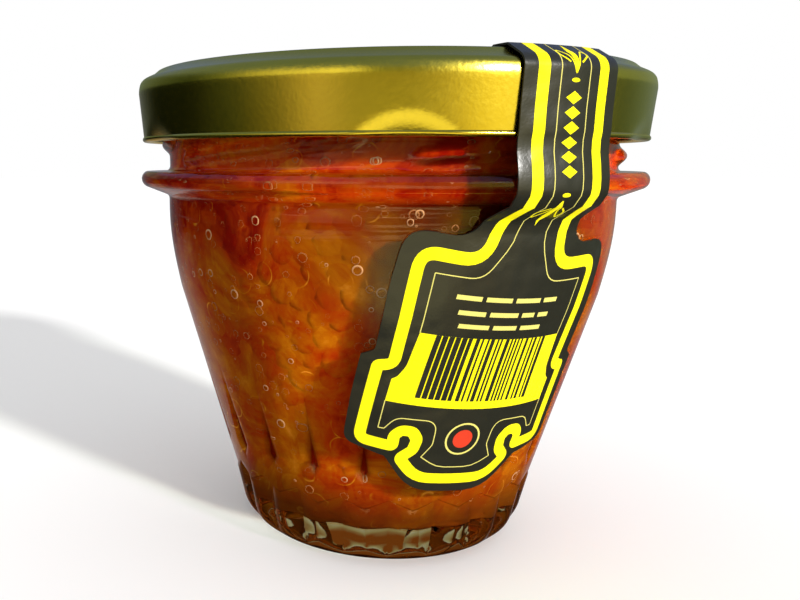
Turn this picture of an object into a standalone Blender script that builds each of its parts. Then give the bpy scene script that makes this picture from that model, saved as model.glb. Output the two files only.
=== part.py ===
"""Salmon roe in a clear glass jar, shut with a gold twist-off lid and a paper seal.

Units are metres and +Z is up. The jar stands on z = 0 with its axis on the Z axis.
An azimuth is counted in degrees from the front, -Y, towards +X.
"""

import math
import random

import bmesh
import bpy
from mathutils import Vector

MM = 0.001

# Jar, turned about the Z axis
JAR_SEGMENTS = 88
WALL = 2.8 * MM
GAP = 0.3 * MM

# Foot of the jar, with convex lobes between upright grooves
FLUTES = 22
FLUTE_AZIMUTH = -4.6
PUSH_UP_RADIUS = 15.8 * MM
PUSH_UP_HEIGHT = 1.0 * MM
REST_INNER_RADIUS = 16.8 * MM
REST_OUTER_RADIUS = 18.6 * MM
HEEL_RADIUS = 7.2 * MM
FOOT_TOP_RADIUS = 26.9 * MM
FOOT_GROOVE_DEPTH = 0.9 * MM
HEM_LOW = 10.8 * MM
HEM_HIGH = 12.6 * MM
HEM_LEDGE = 0.7 * MM

# Body, a cone that rounds into an upright shoulder
BODY_FOOT_RADIUS = 27.2 * MM
CONE_TOP_HEIGHT = 44.0 * MM
CONE_TOP_RADIUS = 36.5 * MM
SHOULDER_MIDDLE = 51.0 * MM
SHOULDER_HEIGHT = 57.7 * MM
SHOULDER_RADIUS = 38.4 * MM

# Pressed creases on the lower body, halfway between the foot's grooves
CREASE_TOP = 31.5 * MM
CREASE_WIDE = 18.0 * MM
CREASE_TIP = 15.6 * MM
CREASE_DEPTH = 0.8 * MM
CREASE_HALF_WIDTH = 1.8 * MM

# Carrying ring, neck and rim
RING_FOOT = 59.6 * MM
RING_MIDDLE = 62.6 * MM
RING_RADIUS = 43.1 * MM
RING_LIP = 1.4 * MM
NECK_FOOT = 64.5 * MM
NECK_RADIUS = 38.2 * MM
RIM_HEIGHT = 78.7 * MM

# Six thread ridges on the neck
THREADS = 6
THREAD_ZONE = 6.4 * MM
THREAD_START = -65.0
THREAD_SPAN = 54.0
THREAD_LOW = 65.6 * MM
THREAD_RISE = 3.6 * MM
THREAD_HEIGHT = 1.3 * MM
THREAD_SPREAD = 1.0 * MM

# Inside of the jar, which the roe fills
FLOOR_HEIGHT = 6.4 * MM
FLOOR_CORNER = 4.6 * MM

# Twist-off lid of thin tinplate
LID_SEGMENTS = 60
LID_SHEET = 0.5 * MM
LID_RADIUS = 43.3 * MM
LID_SKIRT_FOOT = 68.7 * MM
LID_SKIRT_TOP = 77.6 * MM
LID_FOOT_RADIUS = 42.8 * MM
LID_TOP = 80.3 * MM
LID_BEAD_OUTER = 40.2 * MM
LID_BEAD_INNER = 37.6 * MM
LID_PANEL_RADIUS = 36.6 * MM
LID_PANEL_DROP = 0.7 * MM
LID_CURL = 0.9 * MM
LID_ROUND = 1.6 * MM
LID_LEDGE_DROP = 0.8 * MM
LID_LEDGE = 0.9 * MM

# Six lugs, pressed in at the foot of the skirt
LUGS = 6
LUG_AZIMUTH = -4.8
LUG_HALF_ANGLE = 11.0
LUG_TOP = 72.6 * MM
LUG_DEPTH = 1.4 * MM

# Paper seal over the lid, the ring and the body
SEAL_AZIMUTH = 25.4
SEAL_LEAN = 10.4
SEAL_THICKNESS = 0.3 * MM
SEAL_COLUMNS = 7
SEAL_LID_REACH = 24.0 * MM
SEAL_STRIP = 8.45 * MM
SEAL_STRIP_END = 60.0 * MM
SEAL_WAIST = 11.8 * MM
SEAL_WAIST_HEIGHT = 55.4 * MM
SEAL_PANEL_TOP = 54.4 * MM
SEAL_PANEL = 18.1 * MM
SEAL_STEP_HEIGHT = 37.0 * MM
SEAL_SKIRT = 20.3 * MM
SEAL_SKIRT_FOOT = 24.6 * MM
SEAL_SKIRT_FOOT_WIDTH = 19.6 * MM
SEAL_LOBE = 11.4 * MM
SEAL_LOBE_TOP = 19.8 * MM
SEAL_FOOT = 14.5 * MM
SEAL_FOOT_FLAT = 2.5 * MM
SEAL_ROUND = 1.8 * MM
SEAL_RING_CONTACT = 0.7 * MM
SEAL_LONGEST_STEP = 3.6 * MM

# Roe, a packed heap with a bump for each egg that shows
ROE_CLEARANCE = 0.35 * MM
ROE_TOP = 77.4 * MM
ROE_EGGS_ROUND = 36
ROE_EGG_ROWS = 15
ROE_DIP = 1.5 * MM
ROE_UNEVEN = 0.3 * MM
ROE_SEED = 7


def clear_scene():
    for item in list(bpy.data.objects):
        bpy.data.objects.remove(item, do_unlink=True)


def ease(value):
    """A smooth step from 0 to 1."""
    value = min(1.0, max(0.0, value))
    return value * value * (3.0 - 2.0 * value)


def arc(centre, radius, start, end, steps):
    """Points (r, z) on an arc, with angles in degrees from +r towards +z."""
    points = []
    for step in range(steps + 1):
        angle = math.radians(start + (end - start) * step / steps)
        points.append((centre[0] + radius * math.cos(angle), centre[1] + radius * math.sin(angle)))
    return points


def azimuth_of(point):
    return math.degrees(math.atan2(point.x, -point.y))


def at_azimuth(radius, azimuth, height):
    angle = math.radians(azimuth)
    return Vector((radius * math.sin(angle), -radius * math.cos(angle), height))


def from_nearest(azimuth, first, count):
    """Degrees from the nearest of count marks spaced evenly round the axis."""
    pitch = 360.0 / count
    return (azimuth - first + pitch / 2) % pitch - pitch / 2


def turned(outline, segments, first_azimuth):
    """A closed solid turned from an open outline that starts and ends on the axis."""
    bm = bmesh.new()
    verts = [bm.verts.new(at_azimuth(radius, first_azimuth, height)) for radius, height in outline]
    edges = [bm.edges.new(pair) for pair in zip(verts, verts[1:])]
    bmesh.ops.spin(bm, geom=verts + edges, cent=(0, 0, 0), axis=(0, 0, 1), angle=math.tau,
                   steps=segments, use_merge=True, use_normal_flip=False, use_duplicate=False)
    bmesh.ops.remove_doubles(bm, verts=bm.verts, dist=0.001 * MM)
    bmesh.ops.recalc_face_normals(bm, faces=bm.faces)
    return bm


def finished(bm, name, material, smooth_angle=32.0):
    bmesh.ops.triangulate(bm, faces=bm.faces)
    bmesh.ops.recalc_face_normals(bm, faces=bm.faces)
    mesh = bpy.data.meshes.new(name)
    bm.to_mesh(mesh)
    bm.free()
    mesh.shade_smooth()
    mesh.set_sharp_from_angle(angle=math.radians(smooth_angle))
    mesh.materials.append(material)
    item = bpy.data.objects.new(name, mesh)
    bpy.context.scene.collection.objects.link(item)
    return item


def principled(name, colour, roughness, metallic=0.0, transmission=0.0):
    material = bpy.data.materials.new(name)
    material.use_nodes = True
    shader = material.node_tree.nodes["Principled BSDF"]
    shader.inputs["Base Color"].default_value = (*colour, 1.0)
    shader.inputs["Roughness"].default_value = roughness
    shader.inputs["Metallic"].default_value = metallic
    shader.inputs["Transmission Weight"].default_value = transmission
    return material


def body_radius(height):
    """Outer radius of the jar's body: a cone, then an arc that ends upright."""
    if height <= CONE_TOP_HEIGHT:
        share = (height - HEM_HIGH) / (CONE_TOP_HEIGHT - HEM_HIGH)
        return BODY_FOOT_RADIUS + share * (CONE_TOP_RADIUS - BODY_FOOT_RADIUS)
    share = min(1.0, (height - CONE_TOP_HEIGHT) / (SHOULDER_HEIGHT - CONE_TOP_HEIGHT))
    return CONE_TOP_RADIUS + (SHOULDER_RADIUS - CONE_TOP_RADIUS) * math.sin(share * math.pi / 2)


def hem_height(azimuth):
    """Height of the pointed line between the foot and the body."""
    share = abs(from_nearest(azimuth, FLUTE_AZIMUTH + 180.0 / FLUTES, FLUTES)) * FLUTES / 180.0
    return HEM_LOW + (HEM_HIGH - HEM_LOW) * share


def groove_depth(azimuth):
    """Depth of the foot's grooves, sharp at the groove and round on the lobes."""
    share = from_nearest(azimuth, FLUTE_AZIMUTH, FLUTES) * FLUTES / 360.0
    return FOOT_GROOVE_DEPTH * (1.0 - abs(math.sin(math.pi * share)))


def crease_depth(azimuth, height):
    """Depth of the pressed creases, which widen downwards and end in a point."""
    if not CREASE_TIP < height < CREASE_TOP:
        return 0.0
    if height > CREASE_WIDE:
        share = (CREASE_TOP - height) / (CREASE_TOP - CREASE_WIDE)
    else:
        share = (height - CREASE_TIP) / (CREASE_WIDE - CREASE_TIP)
    offset = from_nearest(azimuth, FLUTE_AZIMUTH + 180.0 / FLUTES, FLUTES)
    across = abs(math.radians(offset)) * body_radius(height)
    return CREASE_DEPTH * share * max(0.0, 1.0 - across / (CREASE_HALF_WIDTH * share))


def thread_height(azimuth, height):
    """Height of the thread ridges, which climb to the right round the neck."""
    along = (azimuth - THREAD_START) % (360.0 / THREADS)
    if along > THREAD_SPAN:
        return 0.0
    middle = THREAD_LOW + THREAD_RISE * along / THREAD_SPAN
    fade = ease(along / 5.0) * ease((THREAD_SPAN - along) / 5.0)
    return THREAD_HEIGHT * fade * math.exp(-(((height - middle) / THREAD_SPREAD) ** 2))


def cavity_outline():
    """The inside of the jar, from the rim down to the middle of the floor."""
    heights = (SHOULDER_HEIGHT, SHOULDER_MIDDLE, CONE_TOP_HEIGHT)
    wall = [(body_radius(height) - WALL, height) for height in heights]
    corner_height = FLOOR_HEIGHT + FLOOR_CORNER
    corner_radius = body_radius(corner_height) - WALL - FLOOR_CORNER
    corner = arc((corner_radius, corner_height), FLOOR_CORNER, 0, -90, 3)
    return wall + corner + [(0.0, FLOOR_HEIGHT)]


def jar_outline():
    """The jar's half section, from the push-up under the base to the floor inside."""
    base = [(0.0, PUSH_UP_HEIGHT), (PUSH_UP_RADIUS, PUSH_UP_HEIGHT), (REST_INNER_RADIUS, 0.0)]
    heel = arc((REST_OUTER_RADIUS, HEEL_RADIUS), HEEL_RADIUS, -90, -15, 2)
    foot = [(FOOT_TOP_RADIUS, HEM_LOW), (body_radius(HEM_HIGH), HEM_HIGH + HEM_LEDGE)]
    heights = (CREASE_TIP, CREASE_WIDE, CREASE_TOP, CONE_TOP_HEIGHT, SHOULDER_MIDDLE, SHOULDER_HEIGHT)
    body = [(body_radius(height), height) for height in heights + (RING_FOOT,)]
    lip = arc((RING_RADIUS - RING_LIP, RING_MIDDLE), RING_LIP, -60, 60, 4)
    neck = [(NECK_RADIUS, NECK_FOOT + step * THREAD_ZONE / 4) for step in range(5)]
    rim_half = WALL / 2
    rim = arc((NECK_RADIUS - rim_half, RIM_HEIGHT - rim_half), rim_half, 0, 180, 4)
    return base + heel + foot + body + lip + neck + rim + cavity_outline()


def shape_jar_wall(point):
    """Adds the foot's lobes, the hem, the creases and the threads to the turned jar."""
    radius = math.hypot(point.x, point.y)
    azimuth = azimuth_of(point)
    height = point.z
    if radius < body_radius(height) - WALL / 2:
        return point
    if HEEL_RADIUS * 0.5 < height < HEM_LOW + GAP:
        radius -= groove_depth(azimuth)
    if abs(height - HEM_LOW) < GAP:
        height = hem_height(azimuth)
    elif abs(height - HEM_HIGH - HEM_LEDGE) < GAP:
        height = hem_height(azimuth) + HEM_LEDGE
        radius = body_radius(height)
    radius -= crease_depth(azimuth, height)
    if NECK_FOOT + GAP < height < NECK_FOOT + THREAD_ZONE - GAP:
        radius += thread_height(azimuth, height)
    return at_azimuth(radius, azimuth, height)


def make_jar():
    bm = turned(jar_outline(), JAR_SEGMENTS, FLUTE_AZIMUTH)
    for vert in bm.verts:
        vert.co = shape_jar_wall(vert.co)
    glass = principled("clear_soda_lime_glass", (0.92, 0.96, 0.93), 0.04, transmission=1.0)
    return finished(bm, "glass_jar", glass)


def lid_outline():
    """The lid's half section: over the outside, round the curl and back inside."""
    panel = LID_TOP - LID_PANEL_DROP
    top = [(0.0, panel), (LID_PANEL_RADIUS, panel), (LID_BEAD_INNER, LID_TOP), (LID_BEAD_OUTER, LID_TOP)]
    ledge = (LID_BEAD_OUTER + LID_LEDGE, LID_TOP - LID_LEDGE_DROP)
    shoulder = arc((LID_RADIUS - LID_ROUND, LID_SKIRT_TOP), LID_ROUND, 65, 0, 2)
    curl_height = LID_SKIRT_FOOT + LID_CURL / 2
    curl = arc((LID_FOOT_RADIUS - LID_CURL / 2, curl_height), LID_CURL / 2, 0, -180, 3)
    inner_radius = LID_RADIUS - LID_SHEET
    inside = [(LID_FOOT_RADIUS - LID_SHEET, curl_height + LID_CURL), (inner_radius, LID_SKIRT_TOP),
              (inner_radius - LID_LEDGE, LID_SKIRT_TOP + LID_LEDGE),
              (LID_BEAD_OUTER + 0.6 * MM, LID_TOP - LID_LEDGE_DROP - LID_SHEET),
              (LID_BEAD_OUTER - 0.2 * MM, LID_TOP - LID_SHEET),
              (LID_BEAD_INNER + 0.2 * MM, LID_TOP - LID_SHEET),
              (LID_PANEL_RADIUS + 0.2 * MM, panel - LID_SHEET), (0.0, panel - LID_SHEET)]
    return top + [ledge] + shoulder + [(LID_FOOT_RADIUS + 0.1 * MM, LUG_TOP)] + curl + inside


def shape_lid_skirt(point):
    """Presses the lugs inwards at the foot of the skirt."""
    radius = math.hypot(point.x, point.y)
    azimuth = azimuth_of(point)
    if point.z > LUG_TOP or radius < NECK_RADIUS:
        return point
    offset = abs(from_nearest(azimuth, LUG_AZIMUTH, LUGS))
    across = ease(1.6 * (1.0 - offset / LUG_HALF_ANGLE))
    down = ease((LUG_TOP - point.z) / (LUG_TOP - LID_SKIRT_FOOT))
    return at_azimuth(radius - LUG_DEPTH * across * down, azimuth, point.z)


def make_lid():
    bm = turned(lid_outline(), LID_SEGMENTS, LUG_AZIMUTH)
    for vert in bm.verts:
        vert.co = shape_lid_skirt(vert.co)
    tinplate = principled("gold_lacquered_tinplate", (0.56, 0.44, 0.10), 0.28, metallic=1.0)
    return finished(bm, "lid", tinplate)


def filled_in(stations, longest):
    """The stations, with even steps between two that are further apart than longest."""
    values = [stations[0]]
    for start, end in zip(stations, stations[1:]):
        steps = math.ceil(abs(end - start) / longest)
        values += [start + (end - start) * step / steps for step in range(1, steps + 1)]
    return values


def seal_path():
    """Where the seal's inner face runs, as (r, z) from the lid's top to its foot."""
    panel = LID_TOP - LID_PANEL_DROP + GAP
    bead = LID_TOP + GAP
    lid = [(SEAL_LID_REACH, panel), (SEAL_LID_REACH + SEAL_ROUND, panel), (LID_PANEL_RADIUS, panel),
           (LID_BEAD_INNER, bead), (LID_BEAD_OUTER, bead)]
    shoulder = arc((LID_RADIUS - LID_ROUND, LID_SKIRT_TOP), LID_ROUND + GAP, 60, 0, 3)
    skirt = [(LID_FOOT_RADIUS + 0.1 * MM + GAP, LUG_TOP), (LID_FOOT_RADIUS + GAP, LID_SKIRT_FOOT + LID_CURL)]
    bridge = [(LID_FOOT_RADIUS, (LID_SKIRT_FOOT + NECK_FOOT) / 2),
              (RING_RADIUS + GAP, RING_MIDDLE + SEAL_RING_CONTACT),
              (RING_RADIUS + GAP, RING_MIDDLE - SEAL_RING_CONTACT),
              (RING_RADIUS - RING_LIP, RING_FOOT), (SHOULDER_RADIUS + 2 * GAP, SHOULDER_HEIGHT)]
    stations = [SEAL_WAIST_HEIGHT, SEAL_PANEL_TOP, SEAL_PANEL_TOP - SEAL_ROUND, SEAL_STEP_HEIGHT + GAP,
                SEAL_STEP_HEIGHT - GAP, SEAL_SKIRT_FOOT, SEAL_LOBE_TOP, SEAL_FOOT + SEAL_ROUND, SEAL_FOOT]
    body = [(body_radius(height) + GAP, height) for height in filled_in(stations, SEAL_LONGEST_STEP)]
    return lid + shoulder + skirt + bridge + body


def seal_half_width(radius, height):
    """Half the seal's width at a height: strip, flare, panel, skirt and foot lobe."""
    if height > SEAL_STRIP_END:
        reach = (radius - SEAL_LID_REACH) / SEAL_ROUND if height > LID_SKIRT_TOP else 1.0
        return SEAL_STRIP - SEAL_ROUND * (1.0 - ease(reach))
    if height > SEAL_WAIST_HEIGHT:
        share = (SEAL_STRIP_END - height) / (SEAL_STRIP_END - SEAL_WAIST_HEIGHT)
        return SEAL_STRIP + (SEAL_WAIST - SEAL_STRIP) * share ** 1.6
    if height > SEAL_PANEL_TOP:
        share = (SEAL_WAIST_HEIGHT - height) / (SEAL_WAIST_HEIGHT - SEAL_PANEL_TOP)
        return SEAL_WAIST + (SEAL_PANEL - SEAL_ROUND - SEAL_WAIST) * share
    if height > SEAL_STEP_HEIGHT:
        return SEAL_PANEL - SEAL_ROUND * (1.0 - ease((SEAL_PANEL_TOP - height) / SEAL_ROUND))
    if height > SEAL_SKIRT_FOOT:
        share = (SEAL_STEP_HEIGHT - height) / (SEAL_STEP_HEIGHT - SEAL_SKIRT_FOOT)
        return SEAL_SKIRT + (SEAL_SKIRT_FOOT_WIDTH - SEAL_SKIRT) * share
    if height > SEAL_LOBE_TOP:
        share = (SEAL_SKIRT_FOOT - height) / (SEAL_SKIRT_FOOT - SEAL_LOBE_TOP)
        return SEAL_SKIRT_FOOT_WIDTH + (SEAL_LOBE - SEAL_SKIRT_FOOT_WIDTH) * share ** 1.8
    share = (height - SEAL_FOOT) / (SEAL_LOBE_TOP - SEAL_FOOT)
    return max(SEAL_FOOT_FLAT, SEAL_LOBE * math.sqrt(max(0.0, 1.0 - (1.0 - share) ** 2)))


def seal_azimuth(height):
    """The seal is stuck on a little askew, so its middle leans below the ring."""
    share = max(0.0, (RING_FOOT - height) / (RING_FOOT - SEAL_FOOT))
    return SEAL_AZIMUTH - SEAL_LEAN * share


def seal_point(radius, height, across):
    """A point of the seal, wrapped round the jar but straight where it lies on the lid's top."""
    if height <= LID_SKIRT_TOP:
        return at_azimuth(radius, seal_azimuth(height) + math.degrees(across / radius), height)
    edge = at_azimuth(LID_RADIUS, SEAL_AZIMUTH + math.degrees(across / LID_RADIUS), height)
    return edge - at_azimuth(LID_RADIUS - radius, SEAL_AZIMUTH, 0.0)


def make_seal():
    path = seal_path()
    bm = bmesh.new()
    inner_rows = []
    outer_rows = []
    for index, (radius, height) in enumerate(path):
        before = path[max(0, index - 1)]
        after = path[min(len(path) - 1, index + 1)]
        tangent = Vector((after[0] - before[0], after[1] - before[1])).normalized()
        outward = Vector((-tangent.y, tangent.x)) * SEAL_THICKNESS
        half_width = seal_half_width(radius, height)
        row_in = []
        row_out = []
        for column in range(SEAL_COLUMNS + 1):
            across = half_width * (2.0 * column / SEAL_COLUMNS - 1.0)
            inner = seal_point(radius, height, across)
            away = at_azimuth(outward.x, azimuth_of(inner), outward.y)
            row_in.append(bm.verts.new(inner))
            row_out.append(bm.verts.new(inner + away))
        inner_rows.append(row_in)
        outer_rows.append(row_out)
    for rows in (inner_rows, outer_rows):
        for upper, lower in zip(rows, rows[1:]):
            for left in range(SEAL_COLUMNS):
                bm.faces.new((upper[left], upper[left + 1], lower[left + 1], lower[left]))
    open_edges = [edge for edge in bm.edges if len(edge.link_faces) == 1]
    bmesh.ops.bridge_loops(bm, edges=open_edges)
    bmesh.ops.recalc_face_normals(bm, faces=bm.faces)
    paper = principled("printed_label_paper", (0.02, 0.02, 0.015), 0.3)
    return finished(bm, "seal_label", paper)


def make_roe():
    """Turns the cavity's outline into a grid and lifts every second point to an egg."""
    rng = random.Random(ROE_SEED)
    columns = ROE_EGGS_ROUND * 2
    rows = ROE_EGG_ROWS * 2
    foot = FLOOR_HEIGHT + ROE_CLEARANCE
    bm = bmesh.new()
    rings = []
    for row in range(rows + 1):
        height = foot + (ROE_TOP - foot) * row / rows
        wall = roe_radius(height)
        ring = []
        for column in range(columns):
            shift = (row // 2) % 2
            lifted = row % 2 == 1 and (column + shift) % 2 == 1
            dip = rng.uniform(0.0, ROE_UNEVEN) if lifted else ROE_DIP + rng.uniform(-ROE_UNEVEN, ROE_UNEVEN)
            if row in (0, rows):
                dip = ROE_DIP
            azimuth = 360.0 * (column + rng.uniform(-0.15, 0.15)) / columns
            ring.append(bm.verts.new(at_azimuth(wall - dip, azimuth, height)))
        rings.append(ring)
    for lower, upper in zip(rings, rings[1:]):
        for column in range(columns):
            after = (column + 1) % columns
            bm.faces.new((lower[column], lower[after], upper[after], upper[column]))
    bm.faces.new(rings[0])
    bm.faces.new(rings[-1])
    roe = principled("salmon_roe", (0.60, 0.16, 0.02), 0.2)
    return finished(bm, "roe", roe, smooth_angle=60.0)


def roe_radius(height):
    """Radius that the roe may reach at a height, clear of the wall and the floor's corner."""
    corner_height = FLOOR_HEIGHT + FLOOR_CORNER
    if height >= corner_height:
        wall = min(body_radius(height), NECK_RADIUS) - WALL
    else:
        drop = corner_height - height
        wall = body_radius(corner_height) - WALL - FLOOR_CORNER + math.sqrt(FLOOR_CORNER ** 2 - drop ** 2)
    return wall - ROE_CLEARANCE


clear_scene()
make_jar()
make_lid()
make_seal()
make_roe()
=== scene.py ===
# %% [markdown]
# # Salmon roe in a glass jar
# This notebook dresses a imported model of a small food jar: pressed glass full of salmon roe, a gold
# twist-off lid, and a printed paper seal that runs from the lid down over the front. The packed
# model is the fixed frame. It has the right size and form, and the pieces made here take the place
# of its solids.

# %% Load the frame
import math
import random

import bmesh
import bpy
import numpy as np
from mathutils import Matrix, Vector


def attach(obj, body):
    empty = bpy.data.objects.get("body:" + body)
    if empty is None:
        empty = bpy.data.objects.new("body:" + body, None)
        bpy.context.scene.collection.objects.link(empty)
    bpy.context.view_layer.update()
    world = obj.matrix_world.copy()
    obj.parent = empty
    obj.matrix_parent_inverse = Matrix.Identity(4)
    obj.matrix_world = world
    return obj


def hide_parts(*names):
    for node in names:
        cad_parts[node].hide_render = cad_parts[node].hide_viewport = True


MM = 0.001
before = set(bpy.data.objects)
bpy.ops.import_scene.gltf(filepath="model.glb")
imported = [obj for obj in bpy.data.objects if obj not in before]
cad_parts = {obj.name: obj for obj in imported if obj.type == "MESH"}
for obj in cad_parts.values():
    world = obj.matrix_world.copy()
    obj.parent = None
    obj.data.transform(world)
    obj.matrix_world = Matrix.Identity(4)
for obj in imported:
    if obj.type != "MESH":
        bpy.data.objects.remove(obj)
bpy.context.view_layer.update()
print("frame nodes:", sorted(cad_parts))

# %% [markdown]
# Colours are easy to pick from a picture as hex values, but Blender's sockets expect linear light,
# so one function turns one into the other. A second one adds a shader node, sets its properties,
# and sets or links its inputs, which keeps every material below short enough to read. A Mix node has
# a row of sockets for every kind of data, so those used here get names.

# %% Colours and nodes
MIX_SHARE = 0
FIRST_VECTOR, SECOND_VECTOR, MIXED_VECTOR = 4, 5, 1
FIRST_COLOUR, SECOND_COLOUR, MIXED_COLOUR = 6, 7, 2
WHITE = "#FFFFFF"


def to_linear(hex_colour):
    """An sRGB hex value as linear red, green, blue and alpha."""
    channels = [int(hex_colour[start:start + 2], 16) / 255 for start in (1, 3, 5)]
    linear = [value / 12.92 if value <= 0.04045 else ((value + 0.055) / 1.055) ** 2.4 for value in channels]
    return (*linear, 1.0)


def per_metre(size_mm):
    """The scale that gives a pattern features of this size on Object coordinates in metres."""
    return 1.0 / (size_mm * MM)


def add_node(tree, kind, inputs=None, stops=None, **settings):
    """Adds a node with its settings. An input is linked to a socket, or to a node's first output."""
    node = tree.nodes.new(kind)
    for name, value in settings.items():
        setattr(node, name, value)
    for name, value in (inputs or {}).items():
        if isinstance(value, bpy.types.Node):
            value = value.outputs[0]
        if isinstance(value, bpy.types.NodeSocket):
            tree.links.new(value, node.inputs[name])
        else:
            node.inputs[name].default_value = value
    if stops:
        ramp = node.color_ramp.elements
        ramp.remove(ramp[1])
        for position, _ in stops[1:]:
            ramp.new(position)
        for element, (position, colour) in zip(ramp, stops):
            element.position = position
            element.color = to_linear(colour)
    return node


def new_material(name):
    """An empty node material and its tree."""
    material = bpy.data.materials.new(name)
    material.use_nodes = True
    material.node_tree.nodes.clear()
    return material, material.node_tree


print("amber in linear light:", [round(value, 3) for value in to_linear("#B35A08")])

# %% [markdown]
# ## Camera
# The camera stands a little left of the jar and looks slightly down. The picture it follows seems to
# have been trimmed after it was taken, because the middle of its frame isn't where the lens pointed.
# A sideways lens shift of the size of that trim gives the same perspective.

# %% Camera
IMAGE_WIDTH = 800
CAMERA_PLACE = Vector((-22.6, -153.7, 65.7)) * MM
CAMERA_PITCH = 9.31
FOCAL_PIXELS = 852.0
AXIS_PIXEL_X = 258.8
SENSOR_WIDTH = 36.0
NEAREST = 10.0 * MM

camera = bpy.data.objects.new("camera", bpy.data.cameras.new("camera"))
bpy.context.scene.collection.objects.link(camera)
camera.location = CAMERA_PLACE
camera.rotation_euler = (math.radians(90.0 - CAMERA_PITCH), 0.0, 0.0)
camera.data.sensor_width = SENSOR_WIDTH
camera.data.lens = FOCAL_PIXELS / IMAGE_WIDTH * SENSOR_WIDTH
camera.data.shift_x = (IMAGE_WIDTH / 2 - AXIS_PIXEL_X) / IMAGE_WIDTH
camera.data.clip_start = NEAREST
bpy.context.scene.camera = camera
print("lens in mm:", round(camera.data.lens, 2), "shift:", round(camera.data.shift_x, 3))

# %% [markdown]
# ## Floor and light
# One low key light stands at the right, in front of the jar, and throws a long soft shadow to the
# left and back. A white room fills the rest. Metal and glass show what stands round them, and in an
# all-white room both look pale and milky. So what they mirror is a tent of tones instead. Its foot is
# almost black and its top is blue-grey, and the three levels between have bright yellow panels in
# front and darker sides. Only reflections see the tent.
#
# The clear foot of the jar shows what stands behind it, and white there would look empty. So a ray
# that has come through glass alone meets an olive floor, and a room that is brown low down and pale
# olive higher up.

# %% Floor and light
FLOOR_SIZE = 6.0
FLOOR_DROP = 0.02 * MM
FLOOR_WHITE = "#FCFCFD"
KEY_AZIMUTH = 40.0
KEY_HEIGHT_ANGLE = 19.0
KEY_STRENGTH = 3.8
KEY_WIDTH_ANGLE = 5.0
KEY_COLOUR = "#FFFDF9"
ROOM_STRENGTH = 0.74
BACKDROP_STRENGTH = 1.0
TABLE_OLIVE = "#A89858"
# Colours by how steeply the ray climbs.
BEHIND_FOOT = ((0.43, "#7C4012"), (0.49, "#988450"), (0.60, "#B4AC84"))
TENT_RADIUS = 0.3
TENT_CENTRE = 50.0 * MM
TENT_STRENGTH = 1.35
TENT_FOOT = "#0C0A08"
TENT_LOW = ((-180, "#A8A0A4"), (-140, "#8C7C70"), (-118, "#242420"), (-45, "#181A10"), (-22, "#8C7030"),
            (-8, "#FFF0A0"), (14, "#FFF0A0"), (30, "#A88838"), (60, "#303020"), (125, "#303028"),
            (150, "#90888C"), (180, "#A8A0A4"))
TENT_SIDES = ((-180, "#9A9AA0"), (-150, "#4C5254"), (-128, "#0A0E08"), (-93, "#0E120C"), (-69, "#32382A"),
              (-50, "#6C6448"), (-35, "#BCA67C"), (-22, "#8C8250"), (2, "#847A44"), (14, "#9C8C48"),
              (27, "#E0C84C"), (40, "#FAE468"), (52, "#D0CCA8"), (70, "#747860"), (92, "#36423A"),
              (112, "#54645A"), (145, "#687470"), (180, "#9A9AA0"))
TENT_HIGH = ((-180, "#6C7A68"), (-95, "#2A3426"), (-75, "#606850"), (-55, "#C8C08C"), (-30, "#FFF4B8"),
             (-21, "#FFF4B8"), (-14, "#6C7048"), (8, "#747048"), (22, "#D8CC90"), (38, "#FFF4C0"),
             (52, "#C8C4A0"), (75, "#6C7A68"), (180, "#6C7A68"))
# Heights at which a level begins and has taken over, in radii of the tent.
TENT_LEVELS = ((-0.70, -0.52, TENT_LOW), (-0.22, -0.12, TENT_SIDES), (0.14, 0.20, TENT_HIGH))
TENT_TOP = (0.34, 0.46, "#5C6C90")
HIDDEN_FROM = ("camera", "diffuse", "transmission", "shadow", "volume_scatter")


def mesh_object(bm, name, materials):
    """An object from a bmesh."""
    mesh = bpy.data.meshes.new(name)
    bm.to_mesh(mesh)
    bm.free()
    for material in materials:
        mesh.materials.append(material)
    piece = bpy.data.objects.new(name, mesh)
    bpy.context.scene.collection.objects.link(piece)
    return piece


def seen_through_glass(tree):
    """1 for a ray that came from the lens through glass alone, otherwise 0."""
    path = add_node(tree, "ShaderNodeLightPath")
    direct = add_node(tree, "ShaderNodeMath", {0: path.outputs["Diffuse Depth"], 1: 0.5},
                      operation="LESS_THAN")
    return add_node(tree, "ShaderNodeMath", {0: path.outputs["Is Transmission Ray"], 1: direct},
                    operation="MULTIPLY")


def lay_floor():
    material, tree = new_material("matt_white_board")
    colour = add_node(tree, "ShaderNodeMix",
                      {MIX_SHARE: seen_through_glass(tree), FIRST_COLOUR: to_linear(FLOOR_WHITE),
                       SECOND_COLOUR: to_linear(TABLE_OLIVE)}, data_type="RGBA")
    board = add_node(tree, "ShaderNodeBsdfDiffuse", {"Color": colour.outputs[MIXED_COLOUR]})
    add_node(tree, "ShaderNodeOutputMaterial", {"Surface": board})
    bm = bmesh.new()
    bmesh.ops.create_grid(bm, x_segments=2, y_segments=2, size=FLOOR_SIZE / 2)
    floor = mesh_object(bm, "floor", [material])
    floor.location.z = -FLOOR_DROP
    floor.visible_glossy = False


def hang_key_light():
    key = bpy.data.objects.new("key_light", bpy.data.lights.new("key_light", "SUN"))
    bpy.context.scene.collection.objects.link(key)
    key.rotation_euler = (math.radians(90.0 - KEY_HEIGHT_ANGLE), 0.0, math.radians(KEY_AZIMUTH))
    key.visible_transmission = False
    key.data.energy = KEY_STRENGTH
    key.data.angle = math.radians(KEY_WIDTH_ANGLE)
    key.data.color = to_linear(KEY_COLOUR)[:3]


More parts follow.
